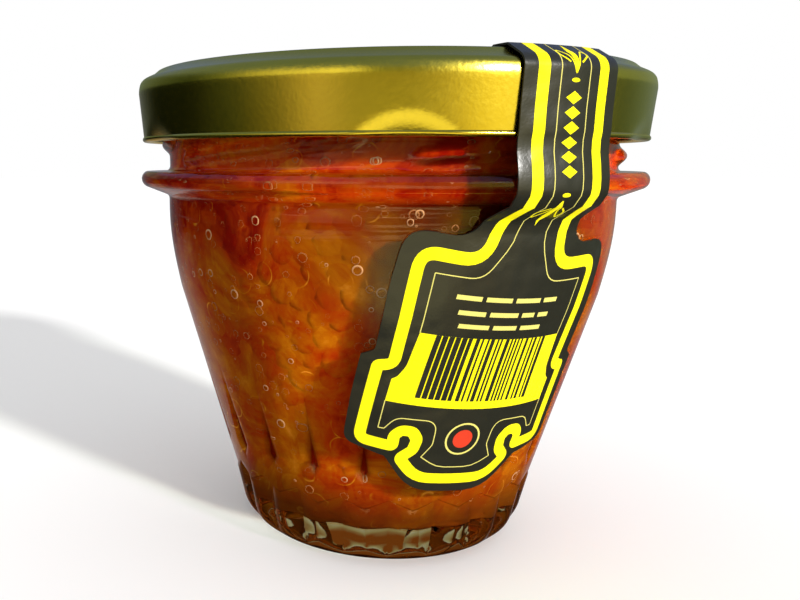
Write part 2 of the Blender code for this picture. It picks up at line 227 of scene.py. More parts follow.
def fill_room_with_light():
    """An even white room for everything but reflections, and a white backdrop for the camera."""
    world = bpy.data.worlds.new("white_room")
    bpy.context.scene.world = world
    world.use_nodes = True
    world.cycles_visibility.glossy = False
    tree = world.node_tree
    tree.nodes.clear()
    direction = add_node(tree, "ShaderNodeTexCoord").outputs["Generated"]
    rise = add_node(tree, "ShaderNodeSeparateXYZ", {"Vector": direction}).outputs["Z"]
    behind = add_node(tree, "ShaderNodeValToRGB", {"Fac": rise}, stops=BEHIND_FOOT)
    colour = add_node(tree, "ShaderNodeMix",
                      {MIX_SHARE: seen_through_glass(tree), FIRST_COLOUR: to_linear(WHITE),
                       SECOND_COLOUR: behind}, data_type="RGBA")
    room = add_node(tree, "ShaderNodeBackground",
                    {"Color": colour.outputs[MIXED_COLOUR], "Strength": ROOM_STRENGTH})
    backdrop = add_node(tree, "ShaderNodeBackground",
                        {"Color": to_linear(WHITE), "Strength": BACKDROP_STRENGTH})
    path = add_node(tree, "ShaderNodeLightPath")
    seen = add_node(tree, "ShaderNodeMixShader",
                    {"Fac": path.outputs["Is Camera Ray"], 1: room, 2: backdrop})
    add_node(tree, "ShaderNodeOutputWorld", {"Surface": seen})


def tones_around(tree, around, tones):
    """Colours that change with the azimuth."""
    stops = [(0.5 + azimuth / 360.0, colour) for azimuth, colour in tones]
    return add_node(tree, "ShaderNodeValToRGB", {"Fac": around}, stops=stops)


def pitch_tent():
    """A ball of tones round the jar, which only reflections see."""
    material, tree = new_material("tent_of_tones")
    place = add_node(tree, "ShaderNodeTexCoord").outputs["Object"]
    parts = add_node(tree, "ShaderNodeSeparateXYZ", {"Vector": place})
    forward = add_node(tree, "ShaderNodeMath", {0: parts.outputs["Y"], 1: -1.0}, operation="MULTIPLY")
    turn = add_node(tree, "ShaderNodeMath", {0: parts.outputs["X"], 1: forward}, operation="ARCTAN2")
    around = add_node(tree, "ShaderNodeMapRange", {"Value": turn, "From Min": -math.pi, "From Max": math.pi})
    levels = [(low, high, tones_around(tree, around, tones)) for low, high, tones in TENT_LEVELS]
    levels.append((*TENT_TOP[:2], to_linear(TENT_TOP[2])))
    colour = to_linear(TENT_FOOT)
    for low, high, tone in levels:
        share = add_node(tree, "ShaderNodeMapRange",
                         {"Value": parts.outputs["Z"], "From Min": low * TENT_RADIUS,
                          "From Max": high * TENT_RADIUS})
        mixed = add_node(tree, "ShaderNodeMix",
                         {MIX_SHARE: share, FIRST_COLOUR: colour, SECOND_COLOUR: tone}, data_type="RGBA")
        colour = mixed.outputs[MIXED_COLOUR]
    glow = add_node(tree, "ShaderNodeEmission", {"Color": colour, "Strength": TENT_STRENGTH})
    add_node(tree, "ShaderNodeOutputMaterial", {"Surface": glow})
    material.cycles.emission_sampling = "NONE"
    bm = bmesh.new()
    bmesh.ops.create_uvsphere(bm, u_segments=48, v_segments=24, radius=TENT_RADIUS)
    tent = mesh_object(bm, "tent", [material])
    tent.location.z = TENT_CENTRE
    for rays in HIDDEN_FROM:
        setattr(tent, "visible_" + rays, False)


lay_floor()
hang_key_light()
fill_room_with_light()
pitch_tent()
bpy.context.scene.view_settings.view_transform = "Standard"
bpy.context.scene.cycles.caustics_refractive = True
bpy.context.scene.cycles.caustics_reflective = False
print("key light from", KEY_AZIMUTH, "degrees right of the front,", KEY_HEIGHT_ANGLE, "degrees up")

# %% [markdown]
# ## Turned shapes
# A jar and its lid are bodies of revolution with some pressed detail. Each starts as half of its
# section, a short chain of points made from straight runs and arcs, which `spin` turns about the
# Z axis. It turns one sector with many steps and then copies that sector round, which is far
# quicker than a full turn in small steps. The pressed detail is then added by moving the points of
# the turned mesh with a formula, so the form stays exact at any density. An azimuth is counted from
# the front towards +X.

# %% Helpers for turned shapes
def ease(value):
    """A smooth step from 0 to 1."""
    value = min(1.0, max(0.0, value))
    return value * value * (3.0 - 2.0 * value)


def arc(centre, radius, start, end, steps):
    """Points (r, z) on an arc, with angles in degrees from +r towards +z."""
    angles = [math.radians(start + (end - start) * step / steps) for step in range(steps + 1)]
    return [(centre[0] + radius * math.cos(angle), centre[1] + radius * math.sin(angle)) for angle in angles]


def at_azimuth(radius, azimuth, height):
    angle = math.radians(azimuth)
    return Vector((radius * math.sin(angle), -radius * math.cos(angle), height))


def azimuth_of(point):
    return math.degrees(math.atan2(point.x, -point.y))


def from_nearest(azimuth, first, count):
    """Degrees from the nearest of count marks spaced evenly round the axis."""
    pitch = 360.0 / count
    return (azimuth - first + pitch / 2) % pitch - pitch / 2


def steps_between(start, end, longest):
    """Even steps from start to end, without start, none longer than longest."""
    count = max(1, math.ceil(abs(end - start) / longest - 1e-6))
    return [start + (end - start) * step / count for step in range(1, count + 1)]


def turned(outline, sectors, sector_steps, first_azimuth):
    """A closed mesh turned from an outline that starts and ends on the axis."""
    bm = bmesh.new()
    verts = [bm.verts.new(at_azimuth(radius, first_azimuth, height)) for radius, height in outline]
    edges = [bm.edges.new(pair) for pair in zip(verts, verts[1:])]
    sector = math.tau / sectors
    bmesh.ops.spin(bm, geom=verts + edges, cent=(0, 0, 0), axis=(0, 0, 1), angle=sector,
                   steps=sector_steps, use_merge=False, use_normal_flip=False, use_duplicate=False)
    first = bm.verts[:] + bm.edges[:] + bm.faces[:]
    bmesh.ops.spin(bm, geom=first, cent=(0, 0, 0), axis=(0, 0, 1), angle=math.tau - sector,
                   steps=sectors - 1, use_merge=False, use_normal_flip=False, use_duplicate=True)
    bmesh.ops.remove_doubles(bm, verts=bm.verts, dist=0.001 * MM)
    bmesh.ops.recalc_face_normals(bm, faces=bm.faces)
    return bm


def finished(bm, name, materials, smooth_angle=35.0):
    """A smooth-shaded piece from a bmesh, which rides with the jar."""
    piece = mesh_object(bm, name, materials)
    piece.data.shade_smooth()
    piece.data.set_sharp_from_angle(angle=math.radians(smooth_angle))
    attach(piece, "root")
    print(name, "has", len(piece.data.polygons), "faces")
    return piece


# %% [markdown]
# ## The glass
# Soda-lime glass is almost colourless, with a faint green that shows where it is thick. One
# Principled shader with full transmission and an index of 1.5 bends and mirrors the light. For rays
# from the lamps a mix puts a Transparent shader in, because otherwise the roe behind the wall would
# lie in the glass's own shadow. Pressed glass is never quite even, so a faint bump with 14 mm waves
# makes reflections swim a little. Under the ring the pressing left finer ripples that run round the
# jar, so a second bump fades in there, 1.8 mm from line to line and drawn out sideways.
#
# The inside of the jar is wet: what fills it bends light almost as the glass does, so no reflection
# shows there. Its faces have a second material with an index of 1, which leaves light as it is. The
# steep sides of the pressed creases and of the ledge at the hem turn the line of sight along the
# wall, where only deep red roe shows. That dark red is painted shade: an attribute of the mesh tints
# the glass dark red along the creases and the hem line.

# %% Clear glass material
SWIM_WAVE = 14.0
SWIM_DEPTH = 0.25 * MM
RIPPLE_WAVE = 1.8
RIPPLE_DEPTH = 0.35 * MM
RIPPLE_SQUEEZE = 0.08
RIPPLE_FOOT = 51.0 * MM
RIPPLE_FULL = 57.0 * MM
# Faint green glass, then the painted shade that darkens it to red along the creases and the hem line.
GLASS_AND_CREASE_SHADE_TINTS = ((0.08, "#F6FAF5"), (0.7, "#5A0A00"))


def by_height(tree, point, low, high, start, end):
    """A value that goes from start at one height to end at another."""
    height = add_node(tree, "ShaderNodeSeparateXYZ", {"Vector": point}).outputs["Z"]
    return add_node(tree, "ShaderNodeMapRange", {"Value": height, "From Min": low, "From Max": high,
                                                 "To Min": start, "To Max": end})


def let_lamps_through(tree, surface, tint):
    """Glass that rays from lamps pass straight through, with a tint."""
    path = add_node(tree, "ShaderNodeLightPath")
    open_side = add_node(tree, "ShaderNodeBsdfTransparent", {"Color": to_linear(tint)})
    return add_node(tree, "ShaderNodeMixShader",
                    {"Fac": path.outputs["Is Shadow Ray"], 1: surface, 2: open_side})


def clear_glass():
    material, tree = new_material("pressed_soda_lime_glass")
    point = add_node(tree, "ShaderNodeTexCoord").outputs["Object"]
    waves = add_node(tree, "ShaderNodeTexNoise",
                     {"Vector": point, "Scale": per_metre(SWIM_WAVE), "Detail": 2.0})
    swim = add_node(tree, "ShaderNodeBump", {"Height": waves, "Strength": 0.5, "Distance": SWIM_DEPTH})
    long_way = add_node(tree, "ShaderNodeMapping",
                        {"Vector": point, "Scale": (RIPPLE_SQUEEZE, RIPPLE_SQUEEZE, 1.0)})
    lines = add_node(tree, "ShaderNodeTexNoise",
                     {"Vector": long_way, "Scale": per_metre(RIPPLE_WAVE), "Detail": 2.0})
    under_ring = by_height(tree, point, RIPPLE_FOOT, RIPPLE_FULL, 0.0, 1.0)
    ripple = add_node(tree, "ShaderNodeMath", {0: lines, 1: under_ring}, operation="MULTIPLY")
    relief = add_node(tree, "ShaderNodeBump",
                      {"Height": ripple, "Strength": 1.0, "Distance": RIPPLE_DEPTH, "Normal": swim})
    # Painted shade: an attribute tints the glass dark red along the creases and the hem line.
    crease_shade = add_node(tree, "ShaderNodeAttribute", attribute_name="crease_shade").outputs["Fac"]
    tint = add_node(tree, "ShaderNodeValToRGB", {"Fac": crease_shade}, stops=GLASS_AND_CREASE_SHADE_TINTS)
    glass = add_node(tree, "ShaderNodeBsdfPrincipled",
                     {"Base Color": tint, "Roughness": 0.01, "IOR": 1.5, "Transmission Weight": 1.0,
                      "Normal": relief})
    add_node(tree, "ShaderNodeOutputMaterial", {"Surface": let_lamps_through(tree, glass, "#F4F8F2")})
    return material


def unseen_face(name, tint):
    """A face between two things that bend light alike: it tints light and does nothing else."""
    material, tree = new_material(name)
    face = add_node(tree, "ShaderNodeBsdfPrincipled",
                    {"Base Color": to_linear(tint), "Roughness": 0.0, "IOR": 1.0,
                     "Transmission Weight": 1.0})
    add_node(tree, "ShaderNodeOutputMaterial", {"Surface": let_lamps_through(tree, face, tint)})
    return material


glass_material = clear_glass()
wet_glass_material = unseen_face("wet_inside_of_glass", WHITE)
print("made", glass_material.name, "and", wet_glass_material.name)

# %% [markdown]
# ## The jar
# The real jar was pressed in a mould: a narrow foot with 22 convex flutes, a pointed hem line where
# the flutes meet the plain cone, arrow-shaped creases above them, a rounded shoulder, a carrying
# ring, and a neck with six short thread ridges for the lid's lugs. Its outline repeats the frame's
# sizes, with many more steps where the frame's solid has few.

# %% Sizes of the jar
STEPS_PER_FLUTE = 20
WALL = 2.8 * MM
FLUTES = 22
FLUTE_AZIMUTH = -4.6
PUSH_UP_RADIUS = 15.8 * MM
PUSH_UP_HEIGHT = 1.0 * MM
REST_INNER_RADIUS = 16.8 * MM
REST_OUTER_RADIUS = 18.6 * MM
HEEL_RADIUS = 7.2 * MM
FOOT_TOP_RADIUS = 26.9 * MM
FOOT_GROOVE_DEPTH = 0.9 * MM
HEM_LOW = 10.8 * MM
HEM_HIGH = 12.6 * MM
HEM_LEDGE = 0.7 * MM
BODY_FOOT_RADIUS = 27.2 * MM
CONE_TOP_HEIGHT = 44.0 * MM
CONE_TOP_RADIUS = 36.5 * MM
SHOULDER_HEIGHT = 57.7 * MM
SHOULDER_RADIUS = 38.4 * MM
CREASE_TOP = 31.5 * MM
CREASE_WIDE = 18.0 * MM
CREASE_TIP = 15.6 * MM
CREASE_DEPTH = 0.8 * MM
CREASE_HALF_WIDTH = 1.8 * MM
RING_FOOT = 59.6 * MM
RING_MIDDLE = 62.6 * MM
RING_RADIUS = 43.1 * MM
RING_LIP = 1.4 * MM
NECK_FOOT = 64.5 * MM
NECK_RADIUS = 38.2 * MM
RIM_HEIGHT = 78.7 * MM
FILLET = 0.9 * MM
THREADS = 6
THREAD_ZONE = 6.4 * MM
THREAD_START = -65.0
THREAD_SPAN = 54.0
THREAD_LOW = 65.6 * MM
THREAD_RISE = 3.6 * MM
THREAD_HEIGHT = 1.3 * MM
THREAD_SPREAD = 1.0 * MM
THREAD_FADE = 5.0
FLOOR_HEIGHT = 6.4 * MM
FLOOR_CORNER = 4.6 * MM
print("wall in mm:", WALL / MM, "flutes:", FLUTES)

# %% [markdown]
# The relief is a set of small formulas. The flutes are round with a sharp groove between them, the
# hem rises to a point at every groove, and a crease is a V that widens downwards and ends in an
# arrow tip. Moving whole rows of the turned mesh onto the hem keeps its zigzag crisp.

# %% Relief of the jar
def body_radius(height):
    """Outer radius of the jar's body: a cone, then an arc that ends upright."""
    if height <= CONE_TOP_HEIGHT:
        share = (height - HEM_HIGH) / (CONE_TOP_HEIGHT - HEM_HIGH)
        return BODY_FOOT_RADIUS + share * (CONE_TOP_RADIUS - BODY_FOOT_RADIUS)
    share = min(1.0, (height - CONE_TOP_HEIGHT) / (SHOULDER_HEIGHT - CONE_TOP_HEIGHT))
    return CONE_TOP_RADIUS + (SHOULDER_RADIUS - CONE_TOP_RADIUS) * math.sin(share * math.pi / 2)


def hem_height(azimuth):
    """Height of the pointed line between the foot and the body."""
    share = abs(from_nearest(azimuth, FLUTE_AZIMUTH + 180.0 / FLUTES, FLUTES)) * FLUTES / 180.0
    return HEM_LOW + (HEM_HIGH - HEM_LOW) * share


def groove_depth(azimuth):
    """Depth of the foot's grooves, sharp at the groove and round on the lobes."""
    share = from_nearest(azimuth, FLUTE_AZIMUTH, FLUTES) * FLUTES / 360.0
    return FOOT_GROOVE_DEPTH * (1.0 - abs(math.sin(math.pi * share)))


def crease_depth(azimuth, height):
    """Depth of the pressed creases, which widen downwards and end in a point."""
    if not CREASE_TIP < height < CREASE_TOP:
        return 0.0
    if height > CREASE_WIDE:
        share = (CREASE_TOP - height) / (CREASE_TOP - CREASE_WIDE)
    else:
        share = (height - CREASE_TIP) / (CREASE_WIDE - CREASE_TIP)
    offset = from_nearest(azimuth, FLUTE_AZIMUTH + 180.0 / FLUTES, FLUTES)
    across = abs(math.radians(offset)) * body_radius(height)
    return CREASE_DEPTH * share * max(0.0, 1.0 - across / (CREASE_HALF_WIDTH * share))


def thread_height(azimuth, height):
    """Height of the thread ridges, which climb to the right round the neck."""
    along = (azimuth - THREAD_START) % (360.0 / THREADS)
    if along > THREAD_SPAN:
        return 0.0
    middle = THREAD_LOW + THREAD_RISE * along / THREAD_SPAN
    fade = ease(along / THREAD_FADE) * ease((THREAD_SPAN - along) / THREAD_FADE)
    return THREAD_HEIGHT * fade * math.exp(-(((height - middle) / THREAD_SPREAD) ** 2))


print("hem runs from", HEM_LOW / MM, "to", HEM_HIGH / MM, "mm")

# %% [markdown]
# The outline goes from the middle of the underside out to the heel, up the outside, over the rim
# and down the inside to the middle of the floor. Rows marked by a share between the foot and the hem
# are stretched to the zigzag afterwards, so `shape_jar_wall` only has to know that share.

# %% Build the jar
HEEL_TOP = 5.4 * MM
FOOT_ROWS = 7
LEDGE_ROWS = 3
HEM_LINE = HEM_LOW + HEM_LEDGE * 2 / LEDGE_ROWS
# How much painted shade the hem line gets.
HEM_SHADE_TINT = 0.5
PUSH_UP_ROUND = 0.5 * MM
REST_ROUND = 0.6 * MM
GROOVE_START = 0.5 * MM
GROOVE_FADE = 4.0 * MM
SAME_ROW = 0.01 * MM
BODY_ROW = 1.1 * MM
CREASE_ROW = 0.6 * MM
CONE_ROW = 2.5 * MM
SHOULDER_ROW = 1.4 * MM
INSIDE_ROW = 2.0 * MM
THREAD_ROW = 0.32 * MM
LEDGE_STEP = 0.3 * MM
NECK_STEP = 0.3 * MM
UNDER_RING_DROP = 0.4 * MM


def inside_outline(reach):
    """The inside of the jar from the rim to the middle of the floor, moved by reach into the wall."""
    heights = [SHOULDER_HEIGHT] + steps_between(SHOULDER_HEIGHT, CONE_TOP_HEIGHT, INSIDE_ROW)
    wall = [(body_radius(height) - WALL + reach, height) for height in heights]
    corner_height = FLOOR_HEIGHT + FLOOR_CORNER
    corner_radius = body_radius(corner_height) - WALL - FLOOR_CORNER
    corner = arc((corner_radius, corner_height), FLOOR_CORNER + reach, 0, -90, 12)
    return wall + corner + [(0.0, FLOOR_HEIGHT - reach)]


def jar_outline():
    base = [(0.0, PUSH_UP_HEIGHT), (PUSH_UP_RADIUS - 2 * PUSH_UP_ROUND, PUSH_UP_HEIGHT)]
    base += arc((PUSH_UP_RADIUS - REST_ROUND, PUSH_UP_HEIGHT - PUSH_UP_ROUND), PUSH_UP_ROUND, 90, 30, 3)
    rest = arc((REST_INNER_RADIUS + REST_ROUND, REST_ROUND), REST_ROUND, -150, -90, 3)
    heel = arc((REST_OUTER_RADIUS, HEEL_RADIUS), HEEL_RADIUS, -90, -15, 12)
    foot_start = heel[-1]
    foot = [(foot_start[0] + (FOOT_TOP_RADIUS - foot_start[0]) * row / FOOT_ROWS,
             foot_start[1] + (HEM_LOW - foot_start[1]) * row / FOOT_ROWS) for row in range(1, FOOT_ROWS + 1)]
    ledge = [(body_radius(HEM_HIGH), HEM_LOW + HEM_LEDGE * row / LEDGE_ROWS)
             for row in range(1, LEDGE_ROWS + 1)]
    heights = [HEM_HIGH + HEM_LEDGE + LEDGE_STEP]
    for top, row in ((CREASE_TIP, BODY_ROW), (CREASE_WIDE, CREASE_ROW), (CREASE_TOP, BODY_ROW),
                     (CONE_TOP_HEIGHT, CONE_ROW), (SHOULDER_HEIGHT, SHOULDER_ROW)):
        heights += steps_between(heights[-1], top, row)
    body = [(body_radius(height), height) for height in heights]
    under = arc((SHOULDER_RADIUS + FILLET, RING_FOOT - UNDER_RING_DROP), FILLET, 180, 110, 4)
    lip = arc((RING_RADIUS - RING_LIP, RING_MIDDLE), RING_LIP, -65, 65, 14)
    over = arc((NECK_RADIUS + FILLET, NECK_FOOT + NECK_STEP), FILLET, 250, 180, 4)
    neck = [(NECK_RADIUS, height) for height in
            steps_between(NECK_FOOT + NECK_STEP, NECK_FOOT + THREAD_ZONE, THREAD_ROW)]
    rim_half = WALL / 2
    rim = arc((NECK_RADIUS - rim_half, RIM_HEIGHT - rim_half), rim_half, 0, 180, 10)
    return base + rest + heel + foot + ledge + body + under + lip + over + neck + rim + inside_outline(0.0)


def shape_jar_wall(point):
    """Adds the flutes, the hem, the creases and the threads to the turned jar."""
    radius = math.hypot(point.x, point.y)
    azimuth = azimuth_of(point)
    height = point.z
    if radius < body_radius(height) - WALL / 2:
        return point
    if height <= HEM_LOW + SAME_ROW:
        radius -= groove_depth(azimuth) * ease((height - GROOVE_START) / GROOVE_FADE)
        if height > HEEL_TOP:
            share = (height - HEEL_TOP) / (HEM_LOW - HEEL_TOP)
            height += share * (hem_height(azimuth) - HEM_LOW)
    elif height <= HEM_LOW + HEM_LEDGE + SAME_ROW:
        share = (height - HEM_LOW) / HEM_LEDGE
        height += hem_height(azimuth) - HEM_LOW
        inner = FOOT_TOP_RADIUS - groove_depth(azimuth)
        radius = inner + (body_radius(height) - inner) * math.sin(share * math.pi / 2)
    radius -= crease_depth(azimuth, height)
    if NECK_FOOT < height < NECK_FOOT + THREAD_ZONE + SAME_ROW:
        radius += thread_height(azimuth, height)
    return at_azimuth(radius, azimuth, height)


def make_jar():
    bm = turned(jar_outline(), FLUTES, STEPS_PER_FLUTE, FLUTE_AZIMUTH)
    for face in bm.faces:
        centre = face.calc_center_median()
        inside = math.hypot(centre.x, centre.y) < body_radius(centre.z) - WALL / 2
        face.material_index = int(inside and centre.z > FLOOR_HEIGHT - 10 * SAME_ROW)
    # Painted shade for the glass: a share that grows with the creases' depth, and a fixed one on the hem
    # line.
    crease_shade = bm.verts.layers.float.new("crease_shade")
    for vert in bm.verts:
        if math.hypot(vert.co.x, vert.co.y) > body_radius(vert.co.z) - WALL / 2:
            vert[crease_shade] = crease_depth(azimuth_of(vert.co), vert.co.z) / CREASE_DEPTH
            if abs(vert.co.z - HEM_LINE) < 5 * SAME_ROW:
                vert[crease_shade] = HEM_SHADE_TINT
        vert.co = shape_jar_wall(vert.co)
    jar = finished(bm, "pressed_glass_jar", [glass_material, wet_glass_material], smooth_angle=28.0)
    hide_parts("glass_jar")


make_jar()

# %% [markdown]
# ## The lid
# A twist-off lid is stamped from tinplate about half a millimetre thick here, coated with a gold
# lacquer. Its top has a flat panel inside a raised bead, and its skirt ends in a rolled curl that
# is pressed in at six places to make the lugs. The lacquer colours the reflections, so it is a
# metal with a gold base colour. The lacquer is finely grained, drawn here with 0.6 mm grains,
# coarser than the real ones so that they show.

# %% Gold tinplate material
LACQUER_CLOUD = 11.0
LACQUER_GRAIN = 0.6
LACQUER_GRAIN_DEPTH = 0.035 * MM
LACQUER_GOLDS = ((0.3, "#D8C444"), (0.7, "#E4D150"))


def gold_tinplate():
    material, tree = new_material("gold_lacquered_tinplate")
    point = add_node(tree, "ShaderNodeTexCoord").outputs["Object"]
    grain = add_node(tree, "ShaderNodeTexNoise",
                     {"Vector": point, "Scale": per_metre(LACQUER_GRAIN), "Detail": 3.0})
    clouds = add_node(tree, "ShaderNodeTexNoise",
                      {"Vector": point, "Scale": per_metre(LACQUER_CLOUD), "Detail": 3.0})
    tone = add_node(tree, "ShaderNodeValToRGB", {"Fac": clouds}, stops=LACQUER_GOLDS)
    rough = add_node(tree, "ShaderNodeMapRange", {"Value": grain, "To Min": 0.18, "To Max": 0.28})
    scratch = add_node(tree, "ShaderNodeBump",
                       {"Height": grain, "Strength": 0.6, "Distance": LACQUER_GRAIN_DEPTH})
    metal = add_node(tree, "ShaderNodeBsdfPrincipled",
                     {"Base Color": tone, "Metallic": 1.0, "Roughness": rough, "Coat Weight": 0.2,
                      "Coat Roughness": 0.08, "Normal": scratch})
    add_node(tree, "ShaderNodeOutputMaterial", {"Surface": metal})
    return material


tinplate_material = gold_tinplate()
print("made", tinplate_material.name, "with grains of", LACQUER_GRAIN, "mm")

# %% [markdown]
# The lid's half section runs over the outside, round the curl and back along the inside, so turning
# it gives both faces of the sheet. Two arcs make its shoulder, a tight one above and a soft one
# below. The lugs are pressed in by moving the foot of the skirt inwards where they are.

# %% Build the lid
STEPS_PER_LUG = 50
LID_SHEET = 0.5 * MM
LID_RADIUS = 43.28 * MM
LID_SKIRT_FOOT = 68.7 * MM
LID_SKIRT_TOP = 77.6 * MM
LID_FOOT_RADIUS = 42.8 * MM
LID_TOP = 80.3 * MM
LID_BEAD_OUTER = 40.2 * MM
LID_BEAD_INNER = 37.6 * MM
LID_PANEL_RADIUS = 36.6 * MM
LID_PANEL_DROP = 0.7 * MM
LID_CURL = 0.9 * MM
LID_PANEL_EDGE = 6.0 * MM
LID_BEAD_ROUND = 0.6 * MM
LID_TIGHT_ROUND = 1.35 * MM
LID_SOFT_ROUND = 5.0 * MM
LID_ROUNDS_MEET = 16.0
LID_ROUND_DROP = 0.9 * MM
LID_CURL_INSET = 0.22 * MM
LID_CURL_RISE = 0.4 * MM
LID_LEDGE_DROP = 0.8 * MM
LID_LEDGE = 0.9 * MM
LID_INNER_SHIFT = 0.2 * MM
LUGS = 6
LUG_AZIMUTH = -4.8
LUG_HALF_ANGLE = 11.0
LUG_TOP = 72.6 * MM
LUG_DEPTH = 1.1 * MM
LUG_SOFTNESS = 1.9
SKIRT_ROW = 0.7 * MM
LUG_ROW = 0.25 * MM


def lid_outline():
    panel = LID_TOP - LID_PANEL_DROP
    bead = LID_TOP - LID_BEAD_ROUND
    top = [(0.0, panel), (LID_PANEL_RADIUS - LID_PANEL_EDGE, panel), (LID_PANEL_RADIUS, panel)]
    top += arc((LID_BEAD_INNER + LID_BEAD_ROUND, bead), LID_BEAD_ROUND, 150, 90, 5)
    top += arc((LID_BEAD_OUTER - LID_BEAD_ROUND / 2, bead), LID_BEAD_ROUND, 90, 40, 5)
    top += [(LID_BEAD_OUTER + LID_LEDGE, LID_TOP - LID_LEDGE_DROP)]
    skirt_start = LID_SKIRT_TOP - LID_ROUND_DROP
    soft = arc((LID_RADIUS - LID_SOFT_ROUND, skirt_start), LID_SOFT_ROUND, LID_ROUNDS_MEET, 0, 6)
    meet = math.radians(LID_ROUNDS_MEET)
    tight_centre = (soft[0][0] - LID_TIGHT_ROUND * math.cos(meet),
                    soft[0][1] - LID_TIGHT_ROUND * math.sin(meet))
    shoulder = arc(tight_centre, LID_TIGHT_ROUND, 65, 22, 6) + soft
    curl_height = LID_SKIRT_FOOT + LID_CURL / 2
    skirt_end = curl_height + LID_CURL_RISE
    taper = (LID_RADIUS - LID_FOOT_RADIUS + LID_CURL_INSET) / (skirt_start - skirt_end)
    heights = steps_between(skirt_start, LUG_TOP, SKIRT_ROW) + steps_between(LUG_TOP, skirt_end, LUG_ROW)
    skirt = [(LID_RADIUS - taper * (skirt_start - height), height) for height in heights]
    curl = arc((LID_FOOT_RADIUS - LID_CURL / 2, curl_height), LID_CURL / 2, 50, -250, 18)
    inner_radius = LID_RADIUS - LID_SHEET
    inside = [(LID_FOOT_RADIUS - LID_SHEET, curl_height + LID_CURL),
              (LID_FOOT_RADIUS - LID_SHEET, LUG_TOP), (inner_radius, LID_SKIRT_TOP),
              (inner_radius - LID_LEDGE, LID_SKIRT_TOP + LID_LEDGE),
              (LID_BEAD_OUTER + LID_BEAD_ROUND, LID_TOP - LID_LEDGE_DROP - LID_SHEET),
              (LID_BEAD_OUTER - LID_INNER_SHIFT, LID_TOP - LID_SHEET),
              (LID_BEAD_INNER + LID_INNER_SHIFT, LID_TOP - LID_SHEET),
              (LID_PANEL_RADIUS + LID_INNER_SHIFT, panel - LID_SHEET), (0.0, panel - LID_SHEET)]
    return top + shoulder + skirt + curl + inside


def shape_lid_skirt(point):
    """Presses the lugs inwards at the foot of the skirt."""
    radius = math.hypot(point.x, point.y)
    azimuth = azimuth_of(point)
    if point.z > LUG_TOP or radius < NECK_RADIUS:
        return point
    offset = from_nearest(azimuth, LUG_AZIMUTH, LUGS) / LUG_HALF_ANGLE
    below_arch = (LUG_TOP - point.z) / (LUG_TOP - LID_SKIRT_FOOT) - offset ** 2
    dent = LUG_DEPTH * max(0.0, below_arch) ** LUG_SOFTNESS
    return at_azimuth(radius - dent, azimuth, point.z)


def make_lid():
    bm = turned(lid_outline(), LUGS, STEPS_PER_LUG, LUG_AZIMUTH)
    for vert in bm.verts:
        vert.co = shape_lid_skirt(vert.co)
    lid = finished(bm, "gold_lid", [tinplate_material], smooth_angle=40.0)
    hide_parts("lid")


make_lid()

# %% [markdown]
# ## Salmon roe
# A salmon egg is a ball of about 4.4 mm with a thin clear skin round an amber yolk. Packed tight,
# the eggs press flat against the glass and against each other, and light wanders so far inside that
# single eggs hardly stand out. What shows is soft patches, from deep red-brown in the neck to gold in
# the middle. So most of the colour comes from noise in the jar's own space, moved up or down by
# height and round two places, and only a little from a value that each egg carries.
#
# Scattering could carry the light, but a plain matt surface is quicker and can be steered, so the
# spread of the light is painted into the colour: painted shade in a wide zone under the ring, which
# comes out too bright under the key light, and painted light low at the front and in the neck. The
# normals point mostly away from the heap's middle, with a share of each egg's own, so single eggs
# are shaded only a little. Short bright arcs are painted highlights on the skins.

# %% Roe material
ROE_PATCH = 13.0
ROE_TONES = ((0.30, "#7A1004"), (0.42, "#983206"), (0.52, "#9C4B08"), (0.64, "#AC6A0C"), (0.80, "#D89838"))
EGG_TONE_SHARE = 0.1
EGG_CELL = 4.6
# Painted highlights on the egg skins: a thin light line round each cell, where a cloud lets it show.
SKIN_HIGHLIGHT_LINE = ((0.40, "#000000"), (0.43, WHITE), (0.46, "#000000"))
SKIN_HIGHLIGHT_CLOUD = 5.0
SKIN_HIGHLIGHT_STRENGTH = 0.3
HEAP_MIDDLE = 40.0 * MM
HEAP_SQUASH = 0.3
OWN_ROUNDNESS = 0.2
NECK_LOW = 50.0 * MM
NECK_HIGH = 64.0 * MM
NECK_TONE = -0.07
# A zone is a place, how far it reaches, and what it adds at its middle.
GOLD_ZONE = (Vector((-6.0, -33.0, 47.0)) * MM, 17.0 * MM, 0.05)
RED_ZONE = (Vector((-29.0, -24.0, 53.0)) * MM, 13.0 * MM, -0.10)
# The roe turns darker and browner towards the foot.
FOOT_LOW = 9.0 * MM
FOOT_HIGH = 17.0 * MM
FOOT_SHARE = 0.85
FOOT_BROWN = "#4E280A"
# Painted light and shade, as factors on the colour: the neck, which the lid shades, is lifted, a wide zone
# under the ring is darkened, and one low at the front is lightened.
PAINTED_NECK_LIGHT_LOW = 60.5 * MM
PAINTED_NECK_LIGHT_HIGH = 64.5 * MM
PAINTED_NECK_LIGHT = 1.9
PAINTED_SHADE_ZONE = (Vector((6.0, -35.8, 57.5)) * MM, 33.0 * MM, -0.84)
PAINTED_LIGHT_ZONE = (Vector((0.0, -30.0, 30.0)) * MM, 25.0 * MM, 0.9)


def near_place(tree, point, place, reach, amount):
    """A value that is largest at a place and fades out round it."""
    away = add_node(tree, "ShaderNodeVectorMath", {0: point, 1: place}, operation="DISTANCE")
    return add_node(tree, "ShaderNodeMapRange",
                    {"Value": away.outputs["Value"], "From Min": 0.0, "From Max": reach, "To Min": amount,
                     "To Max": 0.0}, interpolation_type="SMOOTHSTEP")


def total(tree, value, parts):
    """A value with others added to it."""
    for part in parts:
        value = add_node(tree, "ShaderNodeMath", {0: value, 1: part}, operation="ADD")
    return value


